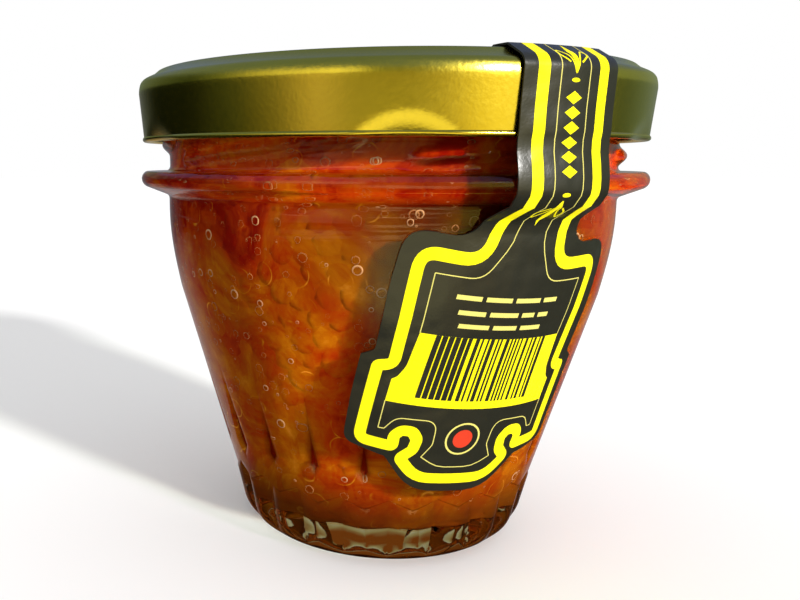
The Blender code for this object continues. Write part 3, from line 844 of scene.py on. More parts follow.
def painted_skin_highlights(tree, point):
    """Painted highlights: short bright arcs on the skins of single eggs."""
    cells = add_node(tree, "ShaderNodeTexVoronoi", {"Vector": point, "Scale": per_metre(EGG_CELL)})
    line = add_node(tree, "ShaderNodeValToRGB", {"Fac": cells.outputs["Distance"]}, stops=SKIN_HIGHLIGHT_LINE)
    clouds = add_node(tree, "ShaderNodeTexNoise", {"Vector": point, "Scale": per_metre(SKIN_HIGHLIGHT_CLOUD)})
    mask = add_node(tree, "ShaderNodeMapRange",
                    {"Value": clouds, "From Min": 0.52, "From Max": 0.64, "To Max": SKIN_HIGHLIGHT_STRENGTH})
    return add_node(tree, "ShaderNodeMath", {0: line, 1: mask}, operation="MULTIPLY")


def heap_normal(tree, point):
    """The direction away from the heap's middle, with a share of each egg's own roundness."""
    stretched = add_node(tree, "ShaderNodeMapping",
                         {"Vector": point, "Scale": (1.0, 1.0, HEAP_SQUASH),
                          "Location": (0.0, 0.0, -HEAP_SQUASH * HEAP_MIDDLE)})
    away = add_node(tree, "ShaderNodeVectorMath", {0: stretched}, operation="NORMALIZE")
    own = add_node(tree, "ShaderNodeNewGeometry").outputs["Normal"]
    mixed = add_node(tree, "ShaderNodeMix",
                     {MIX_SHARE: OWN_ROUNDNESS, FIRST_VECTOR: away, SECOND_VECTOR: own}, data_type="VECTOR")
    return mixed.outputs[MIXED_VECTOR]


def roe_material(name):
    """Matt amber with patches, zones of tone, painted light and shade, and painted skin highlights."""
    material, tree = new_material(name)
    point = add_node(tree, "ShaderNodeTexCoord").outputs["Object"]
    patches = add_node(tree, "ShaderNodeTexNoise",
                       {"Vector": point, "Scale": per_metre(ROE_PATCH), "Detail": 8.0, "Roughness": 0.7,
                        "Distortion": 0.8})
    own = add_node(tree, "ShaderNodeAttribute", attribute_name="egg_tone").outputs["Fac"]
    value = add_node(tree, "ShaderNodeMath", {0: own, 1: EGG_TONE_SHARE, 2: patches},
                     operation="MULTIPLY_ADD")
    neck = by_height(tree, point, NECK_LOW, NECK_HIGH, 0.0, NECK_TONE)
    zones = [near_place(tree, point, *zone) for zone in (GOLD_ZONE, RED_ZONE)]
    value = total(tree, value, [neck, *zones, painted_skin_highlights(tree, point)])
    tone = add_node(tree, "ShaderNodeValToRGB", {"Fac": value}, stops=ROE_TONES)
    foot = by_height(tree, point, FOOT_LOW, FOOT_HIGH, FOOT_SHARE, 0.0)
    browned = add_node(tree, "ShaderNodeMix", {MIX_SHARE: foot, FIRST_COLOUR: tone,
                                               SECOND_COLOUR: to_linear(FOOT_BROWN)}, data_type="RGBA")
    # Painted light and shade: the colour is scaled up in the neck and low at the front, and down under the
    # ring.
    bright = by_height(tree, point, PAINTED_NECK_LIGHT_LOW, PAINTED_NECK_LIGHT_HIGH, 1.0, PAINTED_NECK_LIGHT)
    light = total(tree, bright, [near_place(tree, point, *zone) for zone in (PAINTED_SHADE_ZONE, PAINTED_LIGHT_ZONE)])
    lit = add_node(tree, "ShaderNodeVectorMath", {0: browned.outputs[MIXED_COLOUR], "Scale": light},
                   operation="SCALE")
    egg = add_node(tree, "ShaderNodeBsdfPrincipled",
                   {"Base Color": lit, "Roughness": 0.4, "Specular IOR Level": 0.0,
                    "Normal": heap_normal(tree, point)})
    add_node(tree, "ShaderNodeOutputMaterial", {"Surface": egg})
    return material


egg_material = roe_material("salmon_egg")
core_material = roe_material("roe_between_the_eggs")
print("made", egg_material.name, "and", core_material.name, "with patches of", ROE_PATCH, "mm")

# %% [markdown]
# The eggs lie in rings along the inside of the jar, from the middle of the floor to the top. A real
# heap is uneven, so every egg gets a random size, turn and nudge from one seeded generator. All are
# copies of one icosphere with 80 faces, joined in arrays, because a thousand separate objects
# would be slow. At the end, what would poke through the glass is pressed flat just inside it.

# %% Build the eggs
EGG_RADIUS = 2.6 * MM
EGG_PITCH = 4.0 * MM
EGG_ROW_PITCH = EGG_PITCH * 0.86
EGG_SIDE_NUDGE = 0.3
EGG_LIFT = 0.6 * MM
EGG_STRETCHES = (0.9, 1.12)
EGG_SIZES = (0.9, 1.1)
EGG_TOP = 77.2 * MM
EGG_DEPTH = 1.25 * MM
EGG_CLEARANCE = 0.18 * MM
EGG_UNEVENNESS = 0.03 * MM
WALL_SLANT = 1.03
ROE_SEED = 7


def clear_radius(height, clearance):
    """How far from the axis a thing may reach at a height, clear of the wall and the floor's corner."""
    corner_height = FLOOR_HEIGHT + FLOOR_CORNER
    if height >= corner_height:
        return min(body_radius(height), SHOULDER_RADIUS) - WALL - clearance
    drop = min(FLOOR_CORNER, corner_height - height)
    centre = body_radius(corner_height) - WALL - FLOOR_CORNER
    return centre + math.sqrt(max(0.0, FLOOR_CORNER ** 2 - drop ** 2)) - clearance


def lining_path(depth):
    """A line (r, z) that runs at a depth inside the roe, from the floor's middle up the wall."""
    corner_height = FLOOR_HEIGHT + FLOOR_CORNER
    corner_radius = body_radius(corner_height) - WALL - FLOOR_CORNER
    floor = [(0.0, FLOOR_HEIGHT + depth)]
    corner = arc((corner_radius, corner_height), FLOOR_CORNER - depth, -90, 0, 8)
    wall = [(body_radius(height) - WALL - depth * WALL_SLANT, height) for height in
            steps_between(corner_height, EGG_TOP, INSIDE_ROW)]
    return floor + corner + wall


def stations(path, spacing):
    """Points at an even spacing along a path."""
    found = []
    left = 0.0
    for start, end in zip(path, path[1:]):
        length = math.dist(start, end)
        along = left
        while along < length:
            share = along / length
            found.append((start[0] + (end[0] - start[0]) * share, start[1] + (end[1] - start[1]) * share))
            along += spacing
        left = along - length
    return found


def template_of(bm):
    """Corner points and triangles of a small mesh, as arrays to copy from."""
    bmesh.ops.triangulate(bm, faces=bm.faces)
    points = np.array([vert.co for vert in bm.verts])
    faces = np.array([[vert.index for vert in face.verts] for face in bm.faces])
    bm.free()
    return points, faces


def pressed_flat(points, clearance):
    """Moves what would poke through the glass back to its inside."""
    for row, (x, y, z) in enumerate(points):
        z = min(EGG_TOP, max(z, FLOOR_HEIGHT + clearance))
        radius = math.hypot(x, y)
        press = min(1.0, clear_radius(z, clearance) / max(radius, SAME_ROW))
        points[row] = (x * press, y * press, z)
    return points


def joined(name, shapes, faces, attribute, values, material):
    """One object from many copies of a template, with a value of an attribute for every point."""
    count = len(shapes[0])
    mesh = bpy.data.meshes.new(name)
    all_faces = np.concatenate([faces + index * count for index in range(len(shapes))])
    mesh.from_pydata(np.concatenate(shapes).tolist(), [], all_faces.tolist())
    mesh.attributes.new(attribute, "FLOAT", "POINT").data.foreach_set("value", np.concatenate(values))
    mesh.shade_smooth()
    mesh.materials.append(material)
    piece = bpy.data.objects.new(name, mesh)
    bpy.context.scene.collection.objects.link(piece)
    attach(piece, "root")
    print(name, "has", len(shapes), "balls and", len(mesh.polygons), "faces")
    return piece


def make_eggs():
    rng = random.Random(ROE_SEED)
    ball = bmesh.new()
    bmesh.ops.create_icosphere(ball, subdivisions=2, radius=1.0)
    points, faces = template_of(ball)
    shapes = []
    tones = []
    for row, (radius, height) in enumerate(stations(lining_path(EGG_DEPTH), EGG_ROW_PITCH)):
        count = max(1, round(math.tau * radius / EGG_PITCH))
        for index in range(count):
            nudge = rng.uniform(-EGG_SIDE_NUDGE, EGG_SIDE_NUDGE)
            azimuth = 360.0 * (index + 0.5 * (row % 2) + nudge) / count
            place = at_azimuth(radius, azimuth, height + rng.uniform(-EGG_LIFT, EGG_LIFT))
            angle = rng.uniform(0, math.tau)
            axis = Vector([rng.uniform(-1, 1) for _ in range(3)])
            turn = np.array(Matrix.Rotation(angle, 3, axis))
            stretch = rng.uniform(*EGG_STRETCHES)
            size = EGG_RADIUS * rng.uniform(*EGG_SIZES)
            shape = turn @ np.diag([stretch, 1.0, 1.0 / stretch]) * size
            clearance = EGG_CLEARANCE + rng.random() * EGG_UNEVENNESS
            shapes.append(pressed_flat(points @ shape.T + np.array(place), clearance))
            tones.append(np.full(len(points), rng.uniform(-0.5, 0.5), np.float32))
    eggs = joined("salmon_eggs", shapes, faces, "egg_tone", tones, egg_material)
    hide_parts("roe")


make_eggs()

# %% [markdown]
# Behind the outer eggs nothing can be seen one by one, so the middle of the heap is a single turned
# core of the same roe. It comes almost as near to the glass as the eggs' flat faces do, because a
# deep gap between eggs would look dark, where real ones pass light on to each other.

# %% Build the core
CORE_DEPTH = 0.2 * MM
CORE_TOP = 75.0 * MM


def make_core():
    outline = [point for point in lining_path(CORE_DEPTH) if point[1] < CORE_TOP]
    outline += [(outline[-1][0], CORE_TOP), (0.0, CORE_TOP)]
    core = finished(turned(outline, 12, 10, 0.0), "roe_core", [core_material])
    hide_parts("roe")


make_core()

# %% [markdown]
# ## Brine
# The gaps between the eggs are full of a salty, oily amber liquid. It is a turned body as large as
# the inside of the jar, and it reaches 0.15 mm into the glass. With a true gap there, or with two
# faces in the same place, a thin film of air would show as silver. Since it bends light almost as
# glass does, its face only tints what is behind it.

# %% Brine
BRINE_REACH = 0.15 * MM
BRINE_TOP = 77.4 * MM
brine_material = unseen_face("amber_brine", "#FBE3C4")


def make_brine():
    neck = [(0.0, BRINE_TOP), (NECK_RADIUS - WALL + BRINE_REACH, BRINE_TOP)]
    brine = finished(turned(neck + inside_outline(BRINE_REACH), 20, 11, 0.0), "brine", [brine_material])
    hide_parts("roe")


make_brine()

# %% [markdown]
# ## Drops
# Small flattened bubbles and drops of oil, 0.4 to 1.6 mm across, cling to the inside of the glass and
# show as little light rings all over the jar. A ring is where the drop's side bends bright light
# towards the eye, and here it is a painted highlight. Each drop is a ball with its pole to the glass,
# and carries a value that is high in a belt round the pole, so the painted ring stays with the drop
# from every side.

# %% Drops
DROPS = 1400
DROP_RADIUS = 0.54 * MM
DROP_SIZES = (0.35, 0.5, 0.7, 0.9, 1.0, 1.2, 1.5)
DROP_LOW = 9.5 * MM
DROP_HIGH = 76.0 * MM
DROP_CROWDING = 0.7
DROP_FLATNESS = 0.45
DROP_GAP = 0.05 * MM
DROP_SINK = 0.15
DROP_TILT = -0.25
BELT_HEIGHTS = (-0.5, 0.0, 0.5, 0.85)
BELT_VALUES = (0.0, 0.75, 1.0, 0.0)
# Painted highlight: how bright each drop's ring is, and its colours.
PAINTED_RING_STRENGTHS = (0.42, 0.46, 0.5, 0.55, 0.6, 0.9)
PAINTED_RING_TONES = ((0.5, "#BC7C48"), (0.95, "#F4DCC4"))
BELT_START = 0.3
BELT_FULL = 0.6
BELT_COVER = 0.6


def oil_drop():
    material, tree = new_material("drop_of_roe_oil")
    belt = add_node(tree, "ShaderNodeAttribute", attribute_name="belt").outputs["Fac"]
    tone = add_node(tree, "ShaderNodeValToRGB", {"Fac": belt}, stops=PAINTED_RING_TONES)
    share = add_node(tree, "ShaderNodeMapRange",
                     {"Value": belt, "From Min": BELT_START, "From Max": BELT_FULL, "To Max": BELT_COVER})
    clear = add_node(tree, "ShaderNodeBsdfTransparent")
    # The painted ring is a light matt colour laid over a clear drop.
    light = add_node(tree, "ShaderNodeBsdfDiffuse", {"Color": tone})
    drop = add_node(tree, "ShaderNodeMixShader", {"Fac": share, 1: clear, 2: light})
    add_node(tree, "ShaderNodeOutputMaterial", {"Surface": drop})
    return material


def make_drops():
    rng = random.Random(ROE_SEED + 1)
    ball = bmesh.new()
    bmesh.ops.create_uvsphere(ball, u_segments=12, v_segments=6, radius=1.0)
    points, faces = template_of(ball)
    belt = np.interp(points[:, 2], BELT_HEIGHTS, BELT_VALUES)
    points[:, 2] *= DROP_FLATNESS
    shapes = []
    belts = []
    for _ in range(DROPS):
        height = DROP_LOW + (DROP_HIGH - DROP_LOW) * rng.random() ** DROP_CROWDING
        azimuth = rng.uniform(-180.0, 180.0)
        radius = DROP_RADIUS * rng.choice(DROP_SIZES)
        place = at_azimuth(clear_radius(height, DROP_GAP) - radius * DROP_SINK, azimuth, height)
        outward = at_azimuth(1.0, azimuth, DROP_TILT).to_track_quat("Z", "Y").to_matrix()
        shapes.append(pressed_flat(points @ (np.array(outward) * radius).T + np.array(place), DROP_GAP))
        belts.append((belt * rng.choice(PAINTED_RING_STRENGTHS)).astype(np.float32))
    drops = joined("clinging_drops", shapes, faces, "belt", belts, oil_drop())


make_drops()

# %% [markdown]
# ## The paper seal
# The seal is drawn flat first, as it was printed, in millimetres: s across, v up from its foot. Its
# outline and its stripes are lines with rounded corners, so a helper turns a list of corners with
# radii into a smooth line, and another mirrors it, because they are the same on both sides.

# %% Drawing the seal flat
SEAL_LENGTH = 88.0
MOST_OF_A_SIDE = 0.49
CORNER_STEP = 12.0


def rounded(corners):
    """Points along a line through corners (s, v, radius), each rounded with its radius."""
    line = [corners[0][:2]]
    for before, corner, after in zip(corners, corners[1:], corners[2:]):
        here = Vector(corner[:2])
        back = Vector(before[:2]) - here
        ahead = Vector(after[:2]) - here
        turn = math.pi - back.angle(ahead)
        reach = corner[2] * math.tan(turn / 2)
        reach = min(reach, MOST_OF_A_SIDE * back.length, MOST_OF_A_SIDE * ahead.length)
        start = here + back.normalized() * reach
        end = here + ahead.normalized() * reach
        steps = max(1, round(math.degrees(turn) / CORNER_STEP))
        for step in range(steps + 1):
            share = step / steps
            point = start.lerp(here, share).lerp(here.lerp(end, share), share)
            line.append((point.x, point.y))
    line.append(corners[-1][:2])
    return line


def mirrored(half):
    """A closed line from its right half, which runs from the foot's middle to the top's middle."""
    left = [(-s, v) for s, v in half[::-1] if abs(s) > 1e-6]
    return half + left


SEAL_OUTLINE = rounded([(0.0, 0.6, 0), (6.2, 0.6, 12.0), (11.3, 6.0, 0.8), (18.2, 7.3, 2.2),
                        (18.9, 15.0, 30.0), (19.3, 21.9, 0.3), (17.5, 23.1, 0.8), (18.5, 33.0, 20.0),
                        (18.5, 41.6, 5.5), (8.9, 41.3, 3.6), (8.1, 48.0, 4.0), (8.1, SEAL_LENGTH, 1.8),
                        (0.0, SEAL_LENGTH, 0)])
STRIPE_LINE = rounded([(0.0, 2.95, 0), (5.9, 2.95, 8.0), (9.0, 6.1, 0.6), (7.4, 7.8, 1.2), (7.2, 9.7, 1.2),
                       (8.2, 11.0, 1.2), (9.9, 11.0, 1.2), (10.8, 9.9, 1.2), (10.6, 8.0, 0.4),
                       (15.9, 8.3, 1.5), (16.2, 16.0, 20.0), (16.4, 20.9, 0.3), (14.2, 21.6, 2.8),
                       (15.2, 33.0, 20.0), (15.6, 38.5, 2.4), (6.2, 38.4, 3.6), (5.2, 48.0, 4.0),
                       (5.2, SEAL_LENGTH - 3.0, 1.2), (0.0, SEAL_LENGTH - 3.0, 0)])
FINE_LINE_TOP = rounded([(12.1, 27.1, 0), (12.8, 35.9, 0.1), (5.6, 35.9, 3.4), (2.5, 41.5, 6.0),
                         (2.5, 50.0, 4.0), (2.5, SEAL_LENGTH - 5.0, 0.6), (0.0, SEAL_LENGTH - 5.0, 0)])
FINE_LINE_FOOT = rounded([(0.0, 5.1, 0), (3.0, 5.1, 5.0), (5.8, 6.7, 0.1), (4.6, 9.0, 1.5), (4.9, 13.2, 3.0),
                          (11.3, 13.0, 2.2), (12.6, 10.8, 0.3), (13.5, 10.8, 0.1), (13.7, 15.5, 0)])
FIELD_OUTLINE = rounded([(0.0, 15.5, 0), (13.7, 15.5, 0.0), (13.8, 19.2, 0.2), (13.1, 19.7, 1.5),
                         (12.3, 21.6, 3.0), (12.1, 27.1, 0), (0.0, 27.1, 0)])
print("seal outline has", len(SEAL_OUTLINE), "points for its right half")

# %% [markdown]
# Each printed field is a thin flat solid. A filled shape starts as one face; a line is two rows of
# points, left and right of its middle, joined with `bridge_loops`. Everything is then cut along a
# grid with `bisect_plane`, which gives the sheet the points that it needs in order to bend.

# %% Cutting shapes from the sheet
PAPER_FACE = 0.27
INK_DEPTH = 0.01


def add_fill(bm, line):
    verts = [bm.verts.new((s, v, 0.0)) for s, v in line]
    bm.faces.new(verts)


def add_stroke(bm, line, width, closed=False):
    """A band of this width along a line."""
    count = len(line)
    sides = ([], [])
    for index, (s, v) in enumerate(line):
        before = line[index - 1] if closed or index else line[0]
        after = line[(index + 1) % count] if closed or index < count - 1 else line[-1]
        along = Vector((after[0] - before[0], after[1] - before[1])).normalized()
        for side, verts in zip((-1.0, 1.0), sides):
            offset = Vector((-along.y, along.x)) * side * width / 2
            verts.append(bm.verts.new((s + offset.x, v + offset.y, 0.0)))
    edges = []
    for verts in sides:
        edges += [bm.edges.new(pair) for pair in zip(verts, verts[1:])]
        if closed:
            edges.append(bm.edges.new((verts[-1], verts[0])))
    bmesh.ops.bridge_loops(bm, edges=edges)


def add_oval(bm, centre, half_width, half_height, points=20):
    turns = [math.tau * index / points for index in range(points)]
    add_fill(bm, [(centre[0] + half_width * math.cos(turn), centre[1] + half_height * math.sin(turn))
                  for turn in turns])


# %% [markdown]
# Where does a point of the flat drawing lie on the jar? The seal's side view is a path: flat on the
# lid, round its edge, down the skirt, free to the ring, in to the shoulder and down the cone. A
# drawing height v is a distance along this path, and s is a distance round the jar. Below the ring
# the seal was stuck on a little askew, and straight lines of a flat label rise at their ends on a
# cone, so both are added.

# %% From the drawing to the jar
SEAL_GAP = 0.3 * MM
SEAL_AZIMUTH = 25.4
SEAL_LEAN = 12.2
SEAL_TILT = math.tan(math.radians(4.4))
SEAL_FOOT = 14.5 * MM
SEAL_ROUND = 1.6 * MM
SEAL_LETS_GO = 56.0 * MM
SEAL_END_RADIUS = 24.0 * MM
SEAL_ROW = 4.0 * MM
SEAL_SHOULDER_ROW = 1.5 * MM
LEAN_FADE = 0.75
CONE_SLANT = 116.0
ASKEW_RAMP = 8.0
RISING_POINTS = 30
FLAT_POINTS = 4
SLOPE_SPAN = 0.4


def seal_path():
    """Where the seal's inner face runs, as (r, z) in millimetres from its foot up."""
    panel = LID_TOP - LID_PANEL_DROP + SEAL_GAP
    bead = LID_TOP + SEAL_GAP
    heights = [SEAL_FOOT] + steps_between(SEAL_FOOT, CONE_TOP_HEIGHT, SEAL_ROW)
    heights += steps_between(CONE_TOP_HEIGHT, SEAL_LETS_GO, SEAL_SHOULDER_ROW)
    body = [(body_radius(height) + SEAL_GAP, height) for height in heights]
    bridge = [(SHOULDER_RADIUS + 0.9 * MM, 57.7 * MM), (RING_RADIUS - 1.1 * MM, RING_FOOT),
              (RING_RADIUS + SEAL_GAP - 0.2 * MM, 61.1 * MM), (RING_RADIUS + SEAL_GAP, 61.9 * MM),
              (RING_RADIUS + SEAL_GAP, 63.3 * MM), (RING_RADIUS + 0.1 * MM, 65.0 * MM),
              (RING_RADIUS - 0.2 * MM, 66.8 * MM), (LID_FOOT_RADIUS + 0.1 * MM, 68.4 * MM)]
    skirt = [(LID_FOOT_RADIUS + SEAL_GAP, 69.6 * MM), (LID_FOOT_RADIUS + 0.1 * MM + SEAL_GAP, LUG_TOP)]
    shoulder = arc((LID_RADIUS - SEAL_ROUND, LID_SKIRT_TOP), SEAL_ROUND + SEAL_GAP, 0, 60, 8)
    lid = [(LID_BEAD_OUTER, bead), (LID_BEAD_INNER, bead), (LID_PANEL_RADIUS, panel),
           (SEAL_END_RADIUS, panel)]
    return [(radius / MM, height / MM) for radius, height in body + bridge + skirt + shoulder + lid]


SEAL_PATH = seal_path()
SEAL_REACH = [0.0]
for lower, upper in zip(SEAL_PATH, SEAL_PATH[1:]):
    SEAL_REACH.append(SEAL_REACH[-1] + math.dist(lower, upper))
PATH_RADII, PATH_HEIGHTS = zip(*SEAL_PATH)
RING_REACH = float(np.interp(RING_FOOT / MM, PATH_HEIGHTS[:RISING_POINTS], SEAL_REACH[:RISING_POINTS]))
TOP_START = SEAL_REACH[-1 - FLAT_POINTS]
print("the seal is", round(SEAL_REACH[-1], 1), "mm long, and the ring is at", round(RING_REACH, 1))


def path_at(reach):
    """Radius, height and the outward direction (r, z) at a distance along the path."""
    reach = min(SEAL_REACH[-1], max(0.0, reach))
    places = (max(0.0, reach - SLOPE_SPAN), reach, min(SEAL_REACH[-1], reach + SLOPE_SPAN))
    radii = np.interp(places, SEAL_REACH, PATH_RADII).tolist()
    heights = np.interp(places, SEAL_REACH, PATH_HEIGHTS).tolist()
    along = (Vector((radii[2], heights[2])) - Vector((radii[0], heights[0]))).normalized()
    return radii[1], heights[1], Vector((along.y, -along.x))


def on_jar(point):
    """A point (s, v, lift) of the flat drawing, in millimetres, as a place on the jar."""
    s, v, lift = point
    askew = ease((RING_REACH - v) / ASKEW_RAMP)
    reach = v * SEAL_REACH[-1] / SEAL_LENGTH + askew * (s * s / (2 * CONE_SLANT) - s * SEAL_TILT)
    radius, height, outward = path_at(reach)
    lean = SEAL_LEAN * max(0.0, 1.0 - reach / RING_REACH) ** LEAN_FADE
    if reach <= TOP_START:
        azimuth = SEAL_AZIMUTH - lean + math.degrees(s / radius)
        return at_azimuth(radius + outward.x * lift, azimuth, height + outward.y * lift) * MM
    edge_azimuth = SEAL_AZIMUTH + math.degrees(s / (LID_RADIUS / MM))
    edge = at_azimuth(LID_RADIUS / MM, edge_azimuth, height + outward.y * lift)
    inward = at_azimuth(LID_RADIUS / MM - radius - outward.x * lift, SEAL_AZIMUTH, 0.0)
    return (edge - inward) * MM


# %% [markdown]
# A small function finishes every printed shape: it cuts the grid, gives the flat shape its
# thickness, and rolls it onto the jar.

# %% Rolling shapes onto the jar
CUT_ACROSS = 1.5
CUT_ALONG = 1.2
CUTS_EACH_SIDE = 13
SAME_POINT = 0.0005


def cut_grid(bm, low, high):
    """Cuts flat shapes along the path's own steps and along upright lines."""
    heights = [reach * SEAL_LENGTH / SEAL_REACH[-1] for reach in SEAL_REACH]
    for start, end in zip(heights[:], heights[1:]):
        heights += steps_between(start, end, CUT_ALONG)[:-1]
    cuts = [((0.0, height, 0.0), (0.0, 1.0, 0.0)) for height in heights if low < height < high]
    cuts += [((index * CUT_ACROSS, 0.0, 0.0), (1.0, 0.0, 0.0))
             for index in range(-CUTS_EACH_SIDE, CUTS_EACH_SIDE + 1)]
    for place, normal in cuts:
        geometry = bm.verts[:] + bm.edges[:] + bm.faces[:]
        bmesh.ops.bisect_plane(bm, geom=geometry, dist=SAME_POINT, plane_co=place, plane_no=normal)


def rolled_on(bm, name, material, bottom, top):
    """Cuts a flat shape, makes it a thin solid from bottom to top, and rolls it onto the jar."""
    heights = [vert.co.y for vert in bm.verts]
    cut_grid(bm, min(heights), max(heights))
    bmesh.ops.remove_doubles(bm, verts=bm.verts, dist=SAME_POINT)
    bmesh.ops.triangulate(bm, faces=bm.faces)
    for face in bm.faces:
        if face.normal.z < 0:
            face.normal_flip()
    for vert in bm.verts:
        vert.co.z = bottom
    lifted = bmesh.ops.extrude_face_region(bm, geom=bm.faces[:])
    for item in lifted["geom"]:
        if isinstance(item, bmesh.types.BMVert):
            item.co.z = top
    bmesh.ops.recalc_face_normals(bm, faces=bm.faces)
    for vert in bm.verts:
        vert.co = on_jar(vert.co)
    return finished(bm, name, [material], smooth_angle=50.0)


# %% [markdown]
# The paper is coated and varnished, so it mirrors the light in a soft sheen that breaks up where
# the paper is slightly cockled. Its tooth is drawn at 0.4 mm, coarser than the real one. The black
# ground is a very dark warm grey. The inks are the same varnished surface in other colours, so one
# function makes them all.

# %% Paper and ink materials
COCKLE_WAVE = 8.0
COCKLE_DEPTH = 1.0 * MM
TOOTH_GRAIN = 0.4
TOOTH_DEPTH = 0.03 * MM


def varnished_print(name, colour, roughness=0.3, gloss=0.5):
    material, tree = new_material(name)
    point = add_node(tree, "ShaderNodeTexCoord").outputs["Object"]
    cockle = add_node(tree, "ShaderNodeTexNoise",
                      {"Vector": point, "Scale": per_metre(COCKLE_WAVE), "Detail": 2.0})
    tooth = add_node(tree, "ShaderNodeTexNoise",
                     {"Vector": point, "Scale": per_metre(TOOTH_GRAIN), "Detail": 2.0})
    cockled = add_node(tree, "ShaderNodeBump", {"Height": cockle, "Strength": 0.8, "Distance": COCKLE_DEPTH})
    toothed = add_node(tree, "ShaderNodeBump",
                       {"Height": tooth, "Strength": 0.6, "Distance": TOOTH_DEPTH, "Normal": cockled})
    paper = add_node(tree, "ShaderNodeBsdfPrincipled",
                     {"Base Color": to_linear(colour), "Roughness": roughness, "IOR": 1.5,
                      "Specular IOR Level": gloss, "Normal": toothed})
    add_node(tree, "ShaderNodeOutputMaterial", {"Surface": paper})
    return material


black_paper = varnished_print("black_varnished_paper", "#23231B")
yellow_ink = varnished_print("yellow_ink", "#F2E604", 0.4, 0.15)
cream_ink = varnished_print("cream_ink", "#D2C868", 0.4, 0.2)
black_ink = varnished_print("black_ink", "#23231B", 0.4, 0.3)
red_ink = varnished_print("red_ink", "#C8371C", 0.4, 0.2)
print("made", black_paper.name, "and four inks, with cockles of", COCKLE_WAVE, "mm")

# %% [markdown]
# Now the seal itself. The paper comes first, then the yellow stripe that follows its edge in two
# curls at the foot, the fine cream line inside it, and the yellow field with upright bars, which are
# a plain rhythm of wide and narrow ones. Three rows of short bars run across above the field, a row
# of lozenges between two sprigs climbs the strap, and a small disc stands in the lobe at the foot.

# %% Build the seal
STRIPE_WIDTH = 1.8
FINE_WIDTH = 0.15
BARS_HALF_WIDTH = 9.6
WIDE_BARS_END = -5.6
BARS_FOOT = 16.8
BARS_TOP = 27.1
BAR_WIDTHS = (0.3, 0.3, 0.45, 0.6)
BAR_GAPS = (0.3, 0.35, 0.45, 0.6)
WIDE_BAR = 0.8
WIDE_BAR_GAP = 0.2
LINE_ROWS = ((33.1, 8.7), (30.9, 7.7), (28.9, 7.0))
LINE_HALF_HEIGHT = 0.34
LINE_LENGTHS = (2.2, 5.0)
LINE_GAP = 0.7
LOZENGES = 6
LOZENGE_FOOT = 53.2
LOZENGE_PITCH = 1.95
LOZENGE_HALF_WIDTH = 1.35
LOZENGE_HALF_HEIGHT = 0.85
SPRIG_STROKE = 0.22
DISC_HEIGHT = 10.2
DISC_RADIUS = 1.6
RING_LINE_RADIUS = 2.7
RING_LINE_WIDTH = 0.3
ROUND_POINTS = 28
LINES_SEED = 5
BARS_SEED = 11


def make_paper():
    bm = bmesh.new()
    add_fill(bm, mirrored(SEAL_OUTLINE))
    paper = rolled_on(bm, "seal_paper", black_paper, 0.0, PAPER_FACE)
    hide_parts("seal_label")


def add_leaves(bm, s, v, up):
    """A three-leaf sprig: a short bar, a stem, a full leaf and an open leaf at each side."""
    add_oval(bm, (s, v), 0.7, 0.28)
    for side in (-1.0, 1.0):
        loop = [(s, v + up * 0.9, 0), (s + side * 0.8, v + up * 2.9, 1.6),
                (s + side * 2.2, v + up * 4.6, 0.8), (s + side * 2.5, v + up * 3.2, 0.8),
                (s + side * 1.0, v + up * 2.2, 0)]
        add_stroke(bm, rounded(loop), SPRIG_STROKE)
    leaf = [(s, v + up * 1.0), (s + 0.42, v + up * 2.6), (s + 0.55, v + up * 4.0), (s, v + up * 6.2),
            (s - 0.55, v + up * 4.0), (s - 0.42, v + up * 2.6)]
    add_fill(bm, leaf)


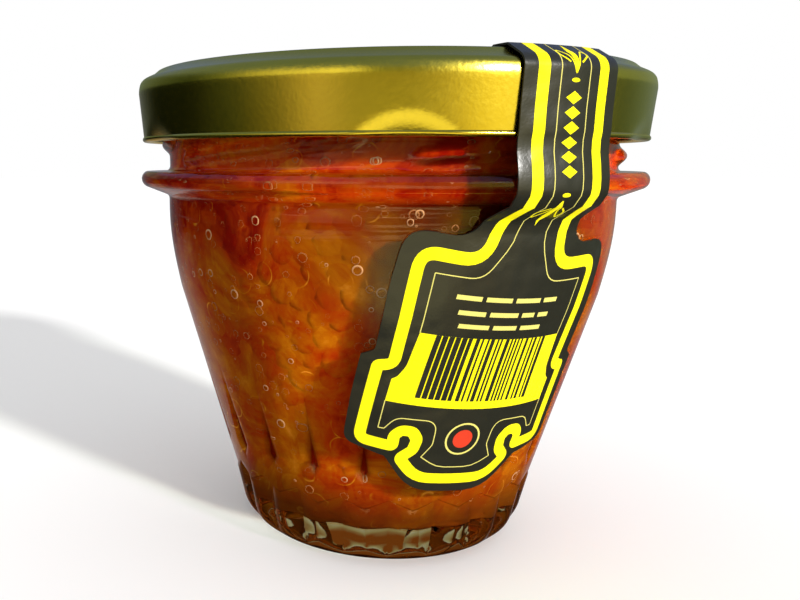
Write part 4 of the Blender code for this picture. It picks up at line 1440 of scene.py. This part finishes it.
def make_yellow_print():
    bm = bmesh.new()
    add_stroke(bm, mirrored(STRIPE_LINE), STRIPE_WIDTH, closed=True)
    add_fill(bm, mirrored(FIELD_OUTLINE))
    add_leaves(bm, 0.0, 65.2, 1.0)
    add_leaves(bm, -0.2, 50.2, -1.0)
    for index in range(LOZENGES):
        v = LOZENGE_FOOT + index * LOZENGE_PITCH
        add_fill(bm, [(0.0, v - LOZENGE_HALF_HEIGHT), (LOZENGE_HALF_WIDTH, v),
                      (0.0, v + LOZENGE_HALF_HEIGHT), (-LOZENGE_HALF_WIDTH, v)])
    ink = rolled_on(bm, "yellow_print", yellow_ink, PAPER_FACE - INK_DEPTH, PAPER_FACE + INK_DEPTH)


def make_cream_print():
    bm = bmesh.new()
    for line in (FINE_LINE_TOP, FINE_LINE_FOOT):
        for side in (-1.0, 1.0):
            add_stroke(bm, [(s * side, v) for s, v in line], FINE_WIDTH)
    rng = random.Random(LINES_SEED)
    for v, half_width in LINE_ROWS:
        s = -half_width
        while s < half_width:
            end = min(half_width, s + rng.uniform(*LINE_LENGTHS))
            low, high = v - LINE_HALF_HEIGHT, v + LINE_HALF_HEIGHT
            add_fill(bm, [(s, low), (end, low), (end, high), (s, high)])
            s = end + LINE_GAP
    turns = [math.tau * index / ROUND_POINTS for index in range(ROUND_POINTS)]
    ring = [(RING_LINE_RADIUS * math.cos(turn), DISC_HEIGHT + RING_LINE_RADIUS * math.sin(turn))
            for turn in turns]
    add_stroke(bm, ring, RING_LINE_WIDTH, closed=True)
    ink = rolled_on(bm, "cream_print", cream_ink, PAPER_FACE - INK_DEPTH, PAPER_FACE + INK_DEPTH)


def make_bars():
    bm = bmesh.new()
    rng = random.Random(BARS_SEED)
    s = -BARS_HALF_WIDTH
    while s < BARS_HALF_WIDTH:
        narrow = s > WIDE_BARS_END
        width = rng.choice(BAR_WIDTHS) if narrow else WIDE_BAR
        add_fill(bm, [(s, BARS_FOOT), (s + width, BARS_FOOT), (s + width, BARS_TOP), (s, BARS_TOP)])
        s += width + (rng.choice(BAR_GAPS) if narrow else WIDE_BAR_GAP)
    ink = rolled_on(bm, "upright_bars", black_ink, PAPER_FACE, PAPER_FACE + 4 * INK_DEPTH)


def make_disc():
    bm = bmesh.new()
    add_oval(bm, (0.0, DISC_HEIGHT), DISC_RADIUS, DISC_RADIUS, ROUND_POINTS)
    ink = rolled_on(bm, "red_disc", red_ink, PAPER_FACE - INK_DEPTH, PAPER_FACE + INK_DEPTH)


make_paper()
make_yellow_print()
make_cream_print()
make_bars()
make_disc()
